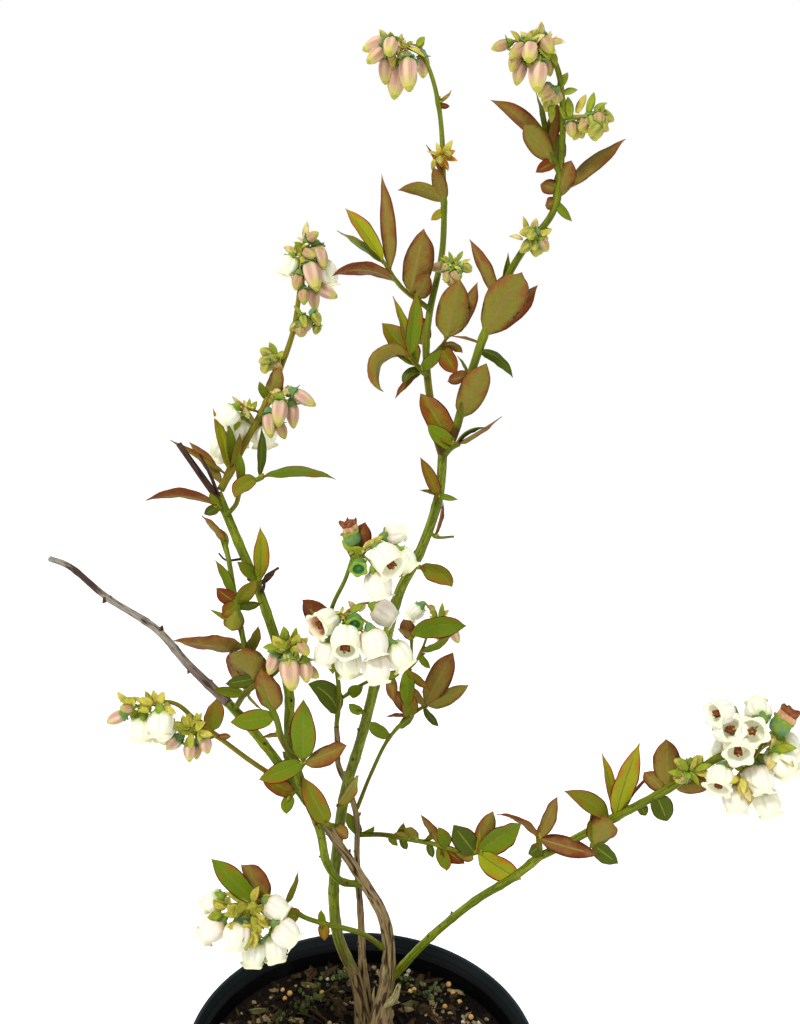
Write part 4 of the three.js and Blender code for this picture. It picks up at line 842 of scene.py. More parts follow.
class Piece:
    """Skins of one kind that end as one mesh, with its finishes in slots."""

    def __init__(self, name, finishes, slot, stands_for):
        self.name, self.slot, self.stands_for = name, slot, stands_for
        self.finishes = list(finishes)
        self.whole = bmesh.new()

    def start(self):
        """A new part, and its layers for grain and wear."""
        bm = bmesh.new()
        return bm, bm.verts.layers.float_vector.new("grain"), bm.verts.layers.float.new("wear")

    def take(self, bm):
        """Adds a part to the piece."""
        mesh = bpy.data.meshes.new("part")
        bm.to_mesh(mesh)
        bm.free()
        self.whole.from_mesh(mesh)
        bpy.data.meshes.remove(mesh)

    def skin(self, columns, rows, place, look):
        """A sheet rolled up until its sides meet, with its ends closed.

        place(u, v) gives a corner's point, grain and wear. The look is a finish, or look(u, v) gives a
        face's finish.
        """
        if isinstance(look, str):
            name = look

            def look(u, v):
                return name

        bm, grain, wear = self.start()
        bmesh.ops.create_grid(bm, x_segments=columns, y_segments=rows, size=0.5)
        for face in bm.faces:
            middle = face.calc_center_median()
            face.material_index = self.finishes.index(look(middle.x + 0.5, middle.y + 0.5))
        for corner in bm.verts:
            corner.co, corner[grain], corner[wear] = place(corner.co.x + 0.5, corner.co.y + 0.5)
        bmesh.ops.remove_doubles(bm, verts=bm.verts, dist=1e-4)
        ends = bmesh.ops.holes_fill(bm, edges=[edge for edge in bm.edges if edge.is_boundary])["faces"]
        for end in ends:
            end.material_index = self.finishes.index(look(0.5, 0.0))
        for face in bm.faces:
            face.smooth = True
        bmesh.ops.recalc_face_normals(bm, faces=bm.faces)
        self.take(bm)

    def finish(self):
        """Makes the object, in metres, and hangs it on the frame."""
        made = mesh_object(self.name, self.whole, self.finishes)
        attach(made, "root")
        if self.stands_for:
            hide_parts(*self.stands_for)


# ---------------------------------------------------------------- stems and leaves


def stem(piece, way, girths, columns, step, look, relief=None):
    """A stem along the way. relief(side, run) gives how far its skin stands out there, and how worn it is."""
    rows = max(3, round(way.length / step)) + 2
    frames = way.frames(rows - 2)

    def place(u, v):
        row = round(v * rows)
        spot = min(max(row - 1, 0), rows - 2)
        centre, across, up = frames[spot]
        angle = TAU * u
        side = (math.cos(angle), math.sin(angle))
        run = spot / (rows - 2) * way.length
        out, wear = relief(side, run) if relief else (0, 0)
        radius = 0 if row in (0, rows) else spread(girths, spot / (rows - 2)) + out
        return centre + (across * side[0] + up * side[1]) * radius, (side[0], side[1], run), wear

    piece.skin(columns, rows, place, look)


def bark_relief(depth, seed, strands=1.5):
    """Long grooves and torn strips that run along a stem."""

    def relief(side, run):
        spot = Vector((side[0] * strands, side[1] * strands, run * 0.045 + seed))
        fine = Vector((side[0] * strands * 2.2, side[1] * strands * 2.2, run * 0.13 + seed))
        groove = max(0, 1 - abs(noise.noise(spot)) * 5)
        lump = noise.noise(fine) * 0.5 + noise.noise(spot * 0.6) * 0.6
        return depth * (lump - 0.8 * groove), groove * 0.8 + max(0, -noise.noise(fine)) * 0.5

    return relief


def knots(relief, places, height, worn):
    """Adds the low rings of old leaf bases to a relief."""

    def with_knots(side, run):
        out, wear = relief(side, run)
        swell = sum(math.exp(-((run - at) / KNOT_LENGTH) ** 2) for at in places)
        return out + height * swell, wear + worn * swell

    return with_knots


# Where the corners of a leaf and of a bract lie, over half their width: across the upper face, then back
# below it
LEAF_ACROSS = (1, 0.9, 0.66, 0.36, 0.06, -0.06, -0.36, -0.66, -0.9, -1, -0.6, -0.09, 0.09, 0.6, 1)
UPPER_COLUMNS = 9
UNDER_MIDRIB = 11
LEAF_ROWS = 16
BRACT_ACROSS = (1, 0.5, 0, -0.5, -1, -0.4, 0.4, 1)
BRACT_UPPER = 5  # how many of these are on its upper face
BRACT_THICKNESS = 0.14


def half_width(place, width, fullest, blunt):
    """A leaf's half width from its stalk (0) to its tip (1), which is more or less blunt."""
    bow = 0.72 - 0.14 * blunt + 0.5 * place ** (4 + 4 * blunt)
    blade = width * 0.5 * max(0, math.sin(math.pi * max(0, place) ** fullest)) ** bow
    return max(blade * smoothstep(place, -0.05, 0.2), STALK_WIDTH * (1 - smoothstep(place, 0.1, 0.2)))


def leaf_spine(ahead, face, length, bend, curl, twist):
    """The middle line of a leaf, as points and the directions ahead, out of its face and to its side."""
    spot = ahead * -LEAF_ROOT
    pace = (length + LEAF_ROOT) / LEAF_ROWS
    side = ahead.cross(face)
    spine = []
    for row in range(LEAF_ROWS + 1):
        part = row / LEAF_ROWS
        turn = Quaternion((0, 1, 0), bend * part) @ Quaternion(side, curl * part)
        forward, out = turn @ ahead, turn @ face
        out.rotate(Quaternion(forward, twist * part))
        spine.append((spot.copy(), out, forward.cross(out)))
        spot += forward * pace
    return spine


def leaf(base, lean, reach, length, width, roll, tint, bend=0.0):
    """A thin leaf with a folded blade, red margins, a raised midrib below, and a bent tip."""
    ahead = direction(lean, reach)
    face = Vector((0, -1, 0))
    face = (face - ahead * face.dot(ahead)).normalized()
    face.rotate(Quaternion(ahead, math.radians(roll)))
    width *= LEAF_NARROWING
    blunt = smoothstep(width / length, 0.26, 0.42)
    seed = draw.uniform(0, 50)
    fold = LEAF_FOLD * draw.uniform(0.5, 1.6)
    fullest = draw.uniform(0.84, 1.16)
    curl, twist = -draw.uniform(0.05, 0.35), draw.uniform(-0.3, 0.3)
    if abs(bend) >= 30:
        curl *= 0.3
    spine = leaf_spine(ahead, face, length, math.radians(bend), curl, twist)
    last = len(LEAF_ACROSS) - 1

    def place(u, v):
        column, row = round(u * last), round(v * LEAF_ROWS)
        s = LEAF_ACROSS[column]
        centre, out, side = spine[row]
        half = half_width(v, width, fullest, blunt) * (1 + 0.03 * math.sin(v * 9 + seed + s))
        below = UPPER_COLUMNS < column < last
        thick = LEAF_THICKNESS + 0.5 * (1 - smoothstep(v, 0, 0.16))
        height = thick * (1 - s * s) * (-1 if below else 1)
        if abs(s) < 0.1:
            height -= (0.3 if below else 0.12) * (1 - v)
        wave = math.sin(v * 15 + seed) + 0.6 * math.sin(v * 27 + 2 * seed)
        height += fold * abs(s) * half + 0.026 * width * wave * s * s
        return base + centre + out * height + side * (s * half), (s, v, seed), 0

    def look(u, v):
        column = int(u * last)
        if column in (0, UPPER_COLUMNS - 1):
            return "leaf_margin_" + ("green" if tint in "gdy" and v < 0.3 else "red")
        if column < UPPER_COLUMNS:
            return "leaf_midrib" if column == UPPER_COLUMNS // 2 and v < 0.8 else "upper_" + tint
        return "under_midrib" if column == UNDER_MIDRIB and v < 0.75 else "under_" + tint

    leaves.skin(last, LEAF_ROWS, place, look)


def bract(piece, base, lean, reach, length, width, looks, curl=0.1):
    """A small pale scale, cupped and bent at its tip."""
    ahead = direction(lean, reach)
    face = Vector((0, -1, 0.4))
    face = (face - ahead * face.dot(ahead)).normalized()
    face.rotate(Quaternion(ahead, draw.uniform(-0.6, 0.6)))
    side = ahead.cross(face)
    last = len(BRACT_ACROSS) - 1
    bend = draw.uniform(-1, 1) * curl + curl
    look = draw.choice(looks)

    def place(u, v):
        column = round(u * last)
        s = BRACT_ACROSS[column]
        half = width * 0.5 * max(0.12 * (1 - v), math.sin(math.pi * min(1, 0.12 + 0.88 * v)) ** 0.8)
        thick = BRACT_THICKNESS if column < BRACT_UPPER else -BRACT_THICKNESS
        height = thick * (1 - s * s) + 0.3 * abs(s) * half - bend * length * v * v
        return base + ahead * (v * length) + face * height + side * (s * half), (s, v, bend), 0

    piece.skin(last, last, place, look)


# ---------------------------------------------------------------- blossoms
#
# A turned shape is a list of rings (height, radius[, crease, rise, spread]), over its length. "Crease"
# draws five furrows in it, and "rise" and "spread" lift and widen it into five lobes.

BELL = (
    (0.05, 0), (0, 0.17, 0.08), (0.03, 0.31, 0.13), (0.1, 0.41, 0.14), (0.2, 0.475, 0.15), (0.33, 0.51, 0.14),
    (0.47, 0.515, 0.13), (0.6, 0.49, 0.11), (0.72, 0.445, 0.04), (0.82, 0.385, 0.02), (0.885, 0.355),
    (0.935, 0.365, 0, 0.02, 0.05), (0.945, 0.395, 0, 0, 0.1), (0.968, 0.385, 0, 0.01, 0.09),
    (0.96, 0.345, 0, 0.02, 0.02), (0.9, 0.315), (0.8, 0.35), (0.6, 0.42), (0.35, 0.43), (0.15, 0.35),
    (0.1, 0),
)
CUP = BELL[:6] + (
    (0.47, 0.52, 0.13), (0.6, 0.515, 0.1), (0.7, 0.485, 0.04), (0.79, 0.45, 0.02), (0.85, 0.44),
    (0.9, 0.45, 0, 0.03, 0.08), (0.91, 0.485, 0, 0, 0.16), (0.94, 0.475, 0, 0.03, 0.15),
    (0.92, 0.43, 0, 0.03, 0.03), (0.85, 0.4), (0.75, 0.42), (0.6, 0.44), (0.4, 0.42), (0.25, 0.33), (0.2, 0),
)
BELL_MOUTH = 14 / 20  # the share of the rings that are outside and on the lobes
CALYX = (
    (-0.27, 0), (-0.28, 0.07), (-0.21, 0.15), (-0.08, 0.2, 0.03), (0, 0.23, 0, 0, 0.03),
    (0.035, 0.27, 0, 0.02, 0.16), (0.06, 0.26, 0, 0.02, 0.15), (0.035, 0.2, 0, 0, 0.05), (0.03, 0),
)
BUD = (
    (0.05, 0), (0, 0.1, 0.05), (0.05, 0.2, 0.1), (0.15, 0.255, 0.14), (0.3, 0.285, 0.15), (0.46, 0.28, 0.15),
    (0.62, 0.25, 0.15), (0.76, 0.195, 0.14), (0.87, 0.135, 0.1), (0.95, 0.075, 0.05), (1, 0),
)
OVARY = (
    (0.03, 0), (0, 0.12), (0.06, 0.25, 0.02), (0.18, 0.32, 0.03), (0.32, 0.34, 0.03), (0.46, 0.32),
    (0.54, 0.33, 0, 0, 0.07), (0.58, 0.31, 0, 0.01, 0.06), (0.52, 0.24), (0.5, 0),
)
HUSK = (
    (0.4, 0), (0.42, 0.22), (0.52, 0.28, 0.16), (0.64, 0.3, 0.22), (0.78, 0.28, 0.24),
    (0.88, 0.29, 0.2, 0.04, 0.03), (0.93, 0.27, 0.2, 0.07, 0.03), (0.84, 0.2, 0.1), (0.7, 0.17), (0.66, 0),
)
FRUIT = (
    (0, 0), (0.01, 0.2), (0.12, 0.4), (0.34, 0.5, 0.03), (0.56, 0.5, 0.03), (0.74, 0.46),
    (0.82, 0.5, 0, 0.02, 0.12), (0.87, 0.48, 0, 0.03, 0.11), (0.84, 0.36), (0.77, 0.31), (0.74, 0.24),
    (0.77, 0.19), (0.74, 0.13), (0.74, 0.07), (0.8, 0.05), (0.8, 0),
)
STAMENS = (
    (0.5, 0), (0.5, 0.12, 0.2), (0.7, 0.16, 0.3), (0.83, 0.15, 0.35, 0.03, 0.02),
    (0.86, 0.1, 0.3, 0.03, 0.01), (0.82, 0),
)
STYLE = ((0.3, 0), (0.3, 0.03), (0.9, 0.025), (0.93, 0.04), (0.95, 0))
NUB = ((0, 0), (0, 0.42), (0.3, 0.45), (0.7, 0.25), (1, 0))


def turned(piece, foot, ahead, size, rings, look, columns=30, dents=0.02, twist=0.0, squeeze=1.0):
    """A shape turned round the line that starts at its foot."""
    turn = draw.uniform(0, TAU)
    across, up = square_to(ahead, turn)
    seed = Vector((draw.uniform(0, 99), 0, 0))
    last = len(rings) - 1

    def place(u, v):
        height, radius, crease, rise, spread_out = (*rings[round(v * last)], 0, 0, 0)[:5]
        angle = TAU * u
        wave = 0.5 + 0.5 * math.cos(5 * angle)
        radius *= 1 - crease * (1 - abs(math.cos(2.5 * angle)) ** 0.55)
        around = angle + twist * v
        side = Vector((math.cos(around), math.sin(around) * squeeze, height))
        dent = 1 + dents * noise.noise(side * 1.7 + seed) * (radius > 0)
        radius = (radius + spread_out * wave) * dent
        height += rise * wave + dents * 0.3 * noise.noise(side * 2.3 - seed) * (rise > 0)
        point = foot + (across * side.x + up * side.y) * (radius * size) + ahead * (height * size)
        return point, (math.cos(angle), math.sin(angle), height), 0

    piece.skin(columns, last, place, look)


def parted(place, low, high):
    """The look of a turned shape that changes at a place along it."""
    return lambda u, v: low if v < place else high


def bell(foot, ahead, length, kind):
    """An open blossom: a narrow-mouthed bell, a wide cup, or a spent cup that browns inside."""
    size = length * 1.02
    rings = BELL if kind == "bell" else CUP
    wall = draw.choice(("corolla", "corolla", "corolla", "corolla_warm"))
    throat = "throat_spent" if kind == "spent" else "throat"
    turned(bells, foot, ahead, size, rings, parted(BELL_MOUTH, wall, throat), dents=0.08)
    turned(cores, foot, ahead, size, STYLE, "style", columns=8, dents=0)
    stamens = "stamen_brown" if kind != "bell" or draw.random() < 0.3 else "stamen_yellow"
    turned(cores, foot, ahead, size, STAMENS, stamens, columns=20, dents=0.2)
    calyx(foot, ahead, length)


def calyx(foot, ahead, length):
    """The five-pointed cup behind a blossom."""
    size = min(0.5 * length + 4.5, 1.3 * length)
    turned(calyxes, foot, ahead, size, CALYX, draw.choice(("calyx_blue", "calyx_blue", "calyx_green")), 20)


def bud(foot, ahead, length, stage):
    """A closed bud, which is pink, rosy or green."""
    girth = draw.uniform(0.92, 1.1) * (1 if length > 9 else 1.15 if length > 5.7 else 1.5)
    rings = [(height, radius * girth, *rest) for height, radius, *rest in BUD]
    turned(buds, foot, ahead, length, rings, parted(0.84, "bud_" + stage, "bud_tip"), columns=20, twist=0.3)
    calyx(foot, ahead, length * 0.86)


def fruit(foot, ahead, length):
    """A young berry, with its ring and its dark eye."""
    zones = ((5, "fruit_body"), (8, "fruit_lobe"), (12, "fruit_dark"), (15, "fruit_ring"))

    def look(u, v):
        return next(zone for last, zone in zones if v * (len(FRUIT) - 1) < last)

    turned(cores, foot, ahead, length, FRUIT, look)


def husk(foot, ahead, length):
    """A young berry with the dried blossom still on it."""
    turned(cores, foot, ahead, length, OVARY, parted(0.6, "calyx_blue", "calyx_green"), columns=20)
    turned(cores, foot, ahead, length, HUSK, parted(0.48, "husk_pale", "husk_brown"), columns=20, dents=0.5)


def small_bract(start, small, tip, looks):
    """A bract that points anywhere, and up to "tip" degrees to the back."""
    bract(scales, start, draw.uniform(0, 360), draw.uniform(tip - 100, tip), small, small * 0.5, looks)


def green_buds(hub, out, lean, reach):
    """Three small buds in the place of one flower."""
    for _ in range(3):
        spot = hub + out * draw.uniform(0.2, 0.9) + Vector([draw.gauss(0, 0.8) for _ in range(3)])
        ahead = direction(lean + draw.gauss(0, 30), reach + draw.gauss(0, 20))
        bud(spot, ahead, draw.uniform(4, 6.2), draw.choice(("green", "green", "rosy")))


def flower(kind, hub, out, ahead, length, looks):
    """A flower with its arching stalk and the two bracts on it."""
    end = hub + out
    behind = 0 if kind in ("berry", "husk") else (0.5 * length + 4.5) * CALYX_DEPTH
    stalk_end = end - ahead * behind
    middle = hub.lerp(stalk_end, 0.55) + Vector((0, 0, 0.12 * (stalk_end - hub).length))
    girths = (STALK * 0.9, STALK * 0.75, STALK)
    stem(twigs, Way([hub, middle, stalk_end]), girths, 6, 1.2, draw.choice(("stalk_red", "stalk_green")))
    for _ in range(2):
        small = draw.uniform(3, 5.5)
        small_bract(hub.lerp(stalk_end, draw.uniform(0.2, 1)), small, 40, looks)
    if kind == "bud":
        bud(end, ahead, length, "pink" if length > PINK_FROM else "rosy")
    elif kind == "scar":
        bud(end, ahead, length, "green")
    elif kind == "berry":
        fruit(end, ahead, length)
    elif kind == "husk":
        husk(end, ahead, length)
    else:
        bell(end, ahead, length, kind)


def truss(plan, stem_way):
    """The stalk, flowers and bracts of one truss."""
    hub = Vector(plan["hub"])
    foot = Vector(plan["foot"]) if "foot" in plan else stem_way.at(plan["start"])
    if (hub - foot).length > 0.5:
        stem(twigs, Way([foot, hub]), (STALK * 1.7, STALK * 1.5), 8, 1.5, "stalk_green")
    looks = SCALES[plan.get("scales", "mixed")]
    for kind, right, back, rise, lean, reach, length in plan["flowers"]:
        out = Vector((right, back, rise))
        if plan.get("stage") == "green":
            green_buds(hub, out, lean, reach)
        else:
            flower(kind, hub, out, direction(lean, reach), length, looks)
    for right, rise, lean, reach, length, width, *back in plan["bracts"]:
        start = hub + Vector((right, draw.uniform(-1.5, 0.5) + sum(back), rise)) * 0.8
        bract(scales, start, lean, reach, length, width, looks)
    for _ in range(SMALL_BRACTS):
        small = draw.uniform(2.4, 4.6)
        start = hub + Vector([draw.gauss(0, wide) for wide in (1.2, 1.2, 1)])
        small_bract(start, small, 50, looks)


# ---------------------------------------------------------------- growing the plant


def peel(piece, way, girths):
    """Thin strips of bark that come away from the foot of the trunk."""
    for _ in range(PEELING_STRIPS):
        at = draw.uniform(0.05, 0.34)
        ahead = way.heading(at)
        out = square_to(ahead, draw.uniform(0, TAU))[0]
        base = way.at(at) + out * spread(girths, at)
        long = draw.uniform(5, 12) * draw.choice((1, -1))
        middle = base + ahead * long * 0.5 + out * draw.uniform(0.1, 0.5)
        end = base + ahead * long + out * draw.uniform(0.2, 1)
        girth = draw.uniform(0.3, 0.8)
        look = draw.choice(("old_bark", "old_bark", "dark_bark", "pale_bark"))
        stem(piece, Way([base - out * 0.8, middle, end]), (girth, girth * 1.2, 0.15), 6, 1.5, look)


def grow_limb(name, plan):
    """A limb with its stumps and forks, and with nubs where leaves once grew."""
    bark, columns, step, depth, strands = plan["skin"]
    piece = Piece(name + "_bark", BARK_KINDS, SLOTS[bark], [name])
    for part in (plan, *plan.get("stubs", ())):
        way, girths = Way(part["path"]), part["girths"]
        look = part.get("bark", bark)
        old = look == "old_bark"
        relief = bark_relief(BARK_DEPTHS.get(look, depth), draw.uniform(0, 90), strands)
        places = []
        run = draw.uniform(6, 14)
        while run < way.length - 3 and len(part["path"]) > 3:
            places.append(run)
            run += draw.uniform(14, 24)
        relief = knots(relief, places, 0.1 if old else 0.2, 0 if old else 0.3)
        stem(piece, way, girths, columns, step, look, relief)
        if old and name == "trunk":
            peel(piece, way, girths)
        for run in places:
            at = run / way.length
            ahead = way.heading(at)
            side = square_to(ahead, draw.uniform(0, TAU))[0]
            base = way.at(at) + side * (spread(girths, at) - 0.3)
            nub(base, (side + ahead * 0.8).normalized(), draw.uniform(1.1, 2), "nub_brown")
    piece.finish()


def nub(base, ahead, size, look):
    """A pointed dormant bud."""
    turned(twigs, base, ahead, size, NUB, look, columns=7, dents=0.1, squeeze=0.75)


def grow_stem(plan, girths):
    """A leafy stem, with a nub beside each leaf."""
    way = Way(plan["path"])
    relief = bark_relief(0.07, draw.uniform(0, 90))
    places = [at * way.length for at, *_ in plan["leaves"] if 0.05 < at < 0.96]
    stem(twigs, way, girths, 10, 1.8, plan.get("bark", "green_twig"), knots(relief, places, 0.16, 0.5))
    for at, lean, reach, *sizes in plan["leaves"]:
        base = way.at(at)
        leaf(base, lean, reach, *sizes)
        ahead = direction(lean, reach) + way.heading(at) * 1.2
        size = draw.uniform(1.6, 2.6)
        nub(base + ahead * 0.4, ahead.normalized(), size, draw.choice(("nub_red", "nub_green")))
    return way


def grow_shoot(plan):
    """A shoot with its side twigs and trusses."""
    way = grow_stem(plan, plan["girths"])
    for twig in plan.get("twigs", ()):
        grow_stem(twig, [girth * TWIG_SHARE for girth in plan["girths"]])
    for one in plan.get("trusses", ()):
        truss(one, way)


# ---------------------------------------------------------------- pot and soil


def inside_radius(height):
    """The inside radius of the pot's wall."""
    return FOOT_RADIUS - WALL + (WALL_TOP_RADIUS - FOOT_RADIUS) * height / COLLAR_FOOT


def make_pot():
    """The pot, turned from its outline, with round drain holes low in its wall."""
    outline = (
        (0, 0), (FOOT_RADIUS - 1.2, 0), (FOOT_RADIUS, 1.6), (FOOT_RADIUS + 1.1, 11),
        (FOOT_RADIUS + 0.5, 12.4), (WALL_TOP_RADIUS, COLLAR_FOOT), (RIM_RADIUS - 0.9, COLLAR_FOOT),
        (RIM_RADIUS, POT_HEIGHT - 1.4), (RIM_RADIUS - 0.8, POT_HEIGHT),
        (RIM_RADIUS - WALL - 0.5, POT_HEIGHT - 0.6), (RIM_RADIUS - WALL - 0.9, LEDGE),
        (inside_radius(LEDGE) - 0.1, LEDGE - 1.2), (inside_radius(FLOOR), FLOOR), (0, FLOOR),
    )
    bm = bmesh.new()
    corners = [bm.verts.new((radius, 0, height)) for radius, height in outline]
    edges = [bm.edges.new(pair) for pair in zip(corners, corners[1:])]
    bmesh.ops.spin(
        bm, geom=corners + edges, cent=(0, 0, 0), axis=(0, 0, 1), angle=TAU, steps=POT_SIDES,
        use_merge=True)
    bmesh.ops.remove_doubles(bm, verts=bm.verts, dist=0.01)
    bmesh.ops.recalc_face_normals(bm, faces=bm.faces)
    creases = [edge for edge in bm.edges if edge.calc_face_angle(0) > 0.35]
    bmesh.ops.bevel(bm, geom=creases, offset=0.5, segments=3, profile=0.5, affect="EDGES", material=-1)
    pot = mesh_object("pot_shell", bm, ["pot"])
    holes = bmesh.new()
    for i in range(DRAIN_HOLES):
        turn = Matrix.Rotation((i + 0.5) / DRAIN_HOLES * TAU, 4, "Z")
        lie = Matrix.Translation((FOOT_RADIUS, 0, DRAIN_HEIGHT)) @ Matrix.Rotation(TAU / 4, 4, "Y")
        bmesh.ops.create_cone(
            holes, cap_ends=True, segments=DRAIN_SIDES, radius1=DRAIN_RADIUS, radius2=DRAIN_RADIUS,
            depth=DRAIN_CUT, matrix=turn @ lie)
    cutter = mesh_object("drain_cutter", holes, ["pot"])
    cut = pot.modifiers.new("drains", "BOOLEAN")
    cut.operation, cut.solver, cut.object = "DIFFERENCE", "EXACT", cutter
    bpy.context.view_layer.update()
    solid = bpy.data.meshes.new_from_object(pot.evaluated_get(bpy.context.evaluated_depsgraph_get()))
    pot.modifiers.clear()
    pot.data = solid
    bpy.data.objects.remove(cutter)
    smooth_by_angle(solid, 0.6)
    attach(pot, "root")
    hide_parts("pot")


def smooth_by_angle(mesh, angle):
    """Smooth shading, with sharp edges where faces meet at more than an angle."""
    bm = bmesh.new()
    bm.from_mesh(mesh)
    for face in bm.faces:
        face.smooth = True
    for edge in bm.edges:
        edge.smooth = edge.calc_face_angle(0) < angle
    bm.to_mesh(mesh)
    bm.free()


def soil_height(x, y):
    """The height of the soil, which is flat by the crown and falls towards the wall."""
    radius = math.hypot(x, y)
    fall = max(0, (radius - SOIL_FLAT_RADIUS) / (SOIL_RADIUS - SOIL_FLAT_RADIUS))
    spot = Vector((x, y, 0))
    bumps = 1.5 * noise.noise(spot * 0.07) + 0.9 * noise.noise(spot * 0.22) + 0.5 * noise.noise(spot * 0.6)
    fade = 1 - smoothstep(radius, SOIL_SMOOTH, SOIL_RADIUS)
    return SOIL_TOP + (SOIL_EDGE - SOIL_TOP) * fall + bumps * fade


def make_soil():
    """The filling of the pot, from the pot's floor up to its uneven top."""
    soil = Piece("soil_bed", ("soil",), "soil", ["soil"])

    def place(u, v):
        ring = round(v * SOIL_RINGS)
        radius = 0 if ring == 0 else inside_radius(FLOOR) - SOIL_GAP
        height = FLOOR + SOIL_GAP
        angle = TAU * u
        if ring > 1:
            radius = (SOIL_RINGS - ring) / (SOIL_RINGS - 2) * (inside_radius(SOIL_EDGE) - SOIL_GAP)
            height = soil_height(radius * math.cos(angle), radius * math.sin(angle))
        point = Vector((radius * math.cos(angle), radius * math.sin(angle), height))
        return point, point, 0

    soil.skin(SOIL_SIDES, SOIL_RINGS, place, "soil")
    soil.finish()


def lump(piece, centre, sizes, look, rough, rounds=2, smooth=True):
    """A crumb or a shard of bark, lying as it fell."""
    bm, grain, _ = piece.start()
    bmesh.ops.create_icosphere(bm, subdivisions=rounds, radius=1)
    turn = Quaternion((0, 0, 1), draw.uniform(0, TAU)) @ Quaternion((1, 0, 0), draw.gauss(0, 0.35))
    turn = turn @ Quaternion((0, 1, 0), draw.gauss(0, 0.3))
    seed = Vector((draw.uniform(0, 99), 0, 0))
    for corner in bm.verts:
        co = corner.co * (1 + rough * noise.noise(corner.co * 1.3 + seed))
        co = Vector((co.x * sizes[0], co.y * sizes[1], co.z * sizes[2]))
        corner.co = Vector(centre) + turn @ co
        corner[grain] = co
    for face in bm.faces:
        face.material_index = piece.finishes.index(look)
        face.smooth = smooth
    piece.take(bm)


def on_soil(x, y, above=0.0):
    """A point some way above the soil."""
    return Vector((x, y, soil_height(x, y) + above))


def scatter(count):
    """Spots on the soil, clear of the crown and the wall."""
    while count:
        radius, angle = (SOIL_RADIUS - WALL_CLEARANCE) * math.sqrt(draw.random()), draw.uniform(0, TAU)
        x, y = radius * math.cos(angle), radius * math.sin(angle)
        if math.hypot(x - CROWN[0], y - CROWN[1]) > CROWN_RADIUS:
            count -= 1
            yield x, y


def rootlet(litter, x, y, looks):
    """A thin bent root, where both of its ends find room."""
    angle, long = draw.uniform(0, TAU), draw.uniform(8, 20)
    ahead = Vector((math.cos(angle), math.sin(angle), 0)) * long * 0.5
    bend = Vector((draw.uniform(-3, 3), draw.uniform(-3, 3), draw.uniform(0.6, 2.2)))
    middle = on_soil(x, y, 0.8)
    ends = [(middle + ahead).xy, (middle - ahead).xy]
    if max(end.length for end in ends) < ROOTLET_REACH:
        girth = draw.uniform(0.3, 0.8)
        way = Way([on_soil(*ends[0], 0.5), middle + bend, on_soil(*ends[1], 0.5)])
        stem(litter, way, (girth, girth * 1.3, girth * 0.5), 6, 1.6, draw.choice(looks))


def make_litter():
    """Bark chips, crumbs, rootlets, moss, feed granules, grit and fallen leaves on the soil."""
    chips = ("chip_dark", "chip_dark", "chip_brown", "chip_brown", "chip_pale")
    moss = ("moss", "moss_dark")
    litter = Piece("bark_litter", (*chips[::2], *moss, "feed", "grit", "fallen"), "soil", [])
    for x, y in scatter(CHIPS):
        long = draw.uniform(1.6, 5.5)
        sizes = (long, long * draw.uniform(0.16, 0.45), draw.uniform(0.5, 1.5))
        lump(litter, on_soil(x, y, 0.5), sizes, draw.choice(chips), 0.7, 2, False)
    for x, y in scatter(CRUMBS):
        size = draw.uniform(0.5, 1.5)
        lump(litter, on_soil(x, y, 0.3), (size, size, size * 0.8), draw.choice(chips), 0.7, 1, False)
    for x, y, size in BIG_CHUNKS:
        lump(litter, on_soil(x, y, size * 0.25), (size, size * 0.62, size * 0.4), "chip_brown", 0.9, 3)
    for x, y in scatter(ROOTLETS):
        rootlet(litter, x, y, chips[2:])
    for x, y, size in MOSS:
        for _ in range(round(MOSS_LEAVES * size)):
            base = on_soil(x + draw.gauss(0, 3.4) * size, y + draw.gauss(0, 3.4) * size, 0.4)
            long = draw.uniform(1.6, 3.4)
            bract(litter, base, draw.uniform(-75, 75), draw.uniform(-60, 60), long, long * 0.8, moss)
    for x, y in (*FEED, *scatter(LOOSE_GRAINS)):
        lump(litter, on_soil(x, y, 1), [draw.uniform(1.1, 1.5)] * 3, "feed", 0.06)
    for x, y in (*GRIT, *scatter(LOOSE_GRAINS)):
        lump(litter, on_soil(x, y, 0.8), [draw.uniform(0.8, 1.6)] * 3, "grit", 0.5)
    for x, y, lean, long in FALLEN:
        bract(litter, on_soil(x, y, 1.6), lean, -25, long, long * 0.42, ("fallen",), 0.15)
    litter.finish()


# ---------------------------------------------------------------- the finishes

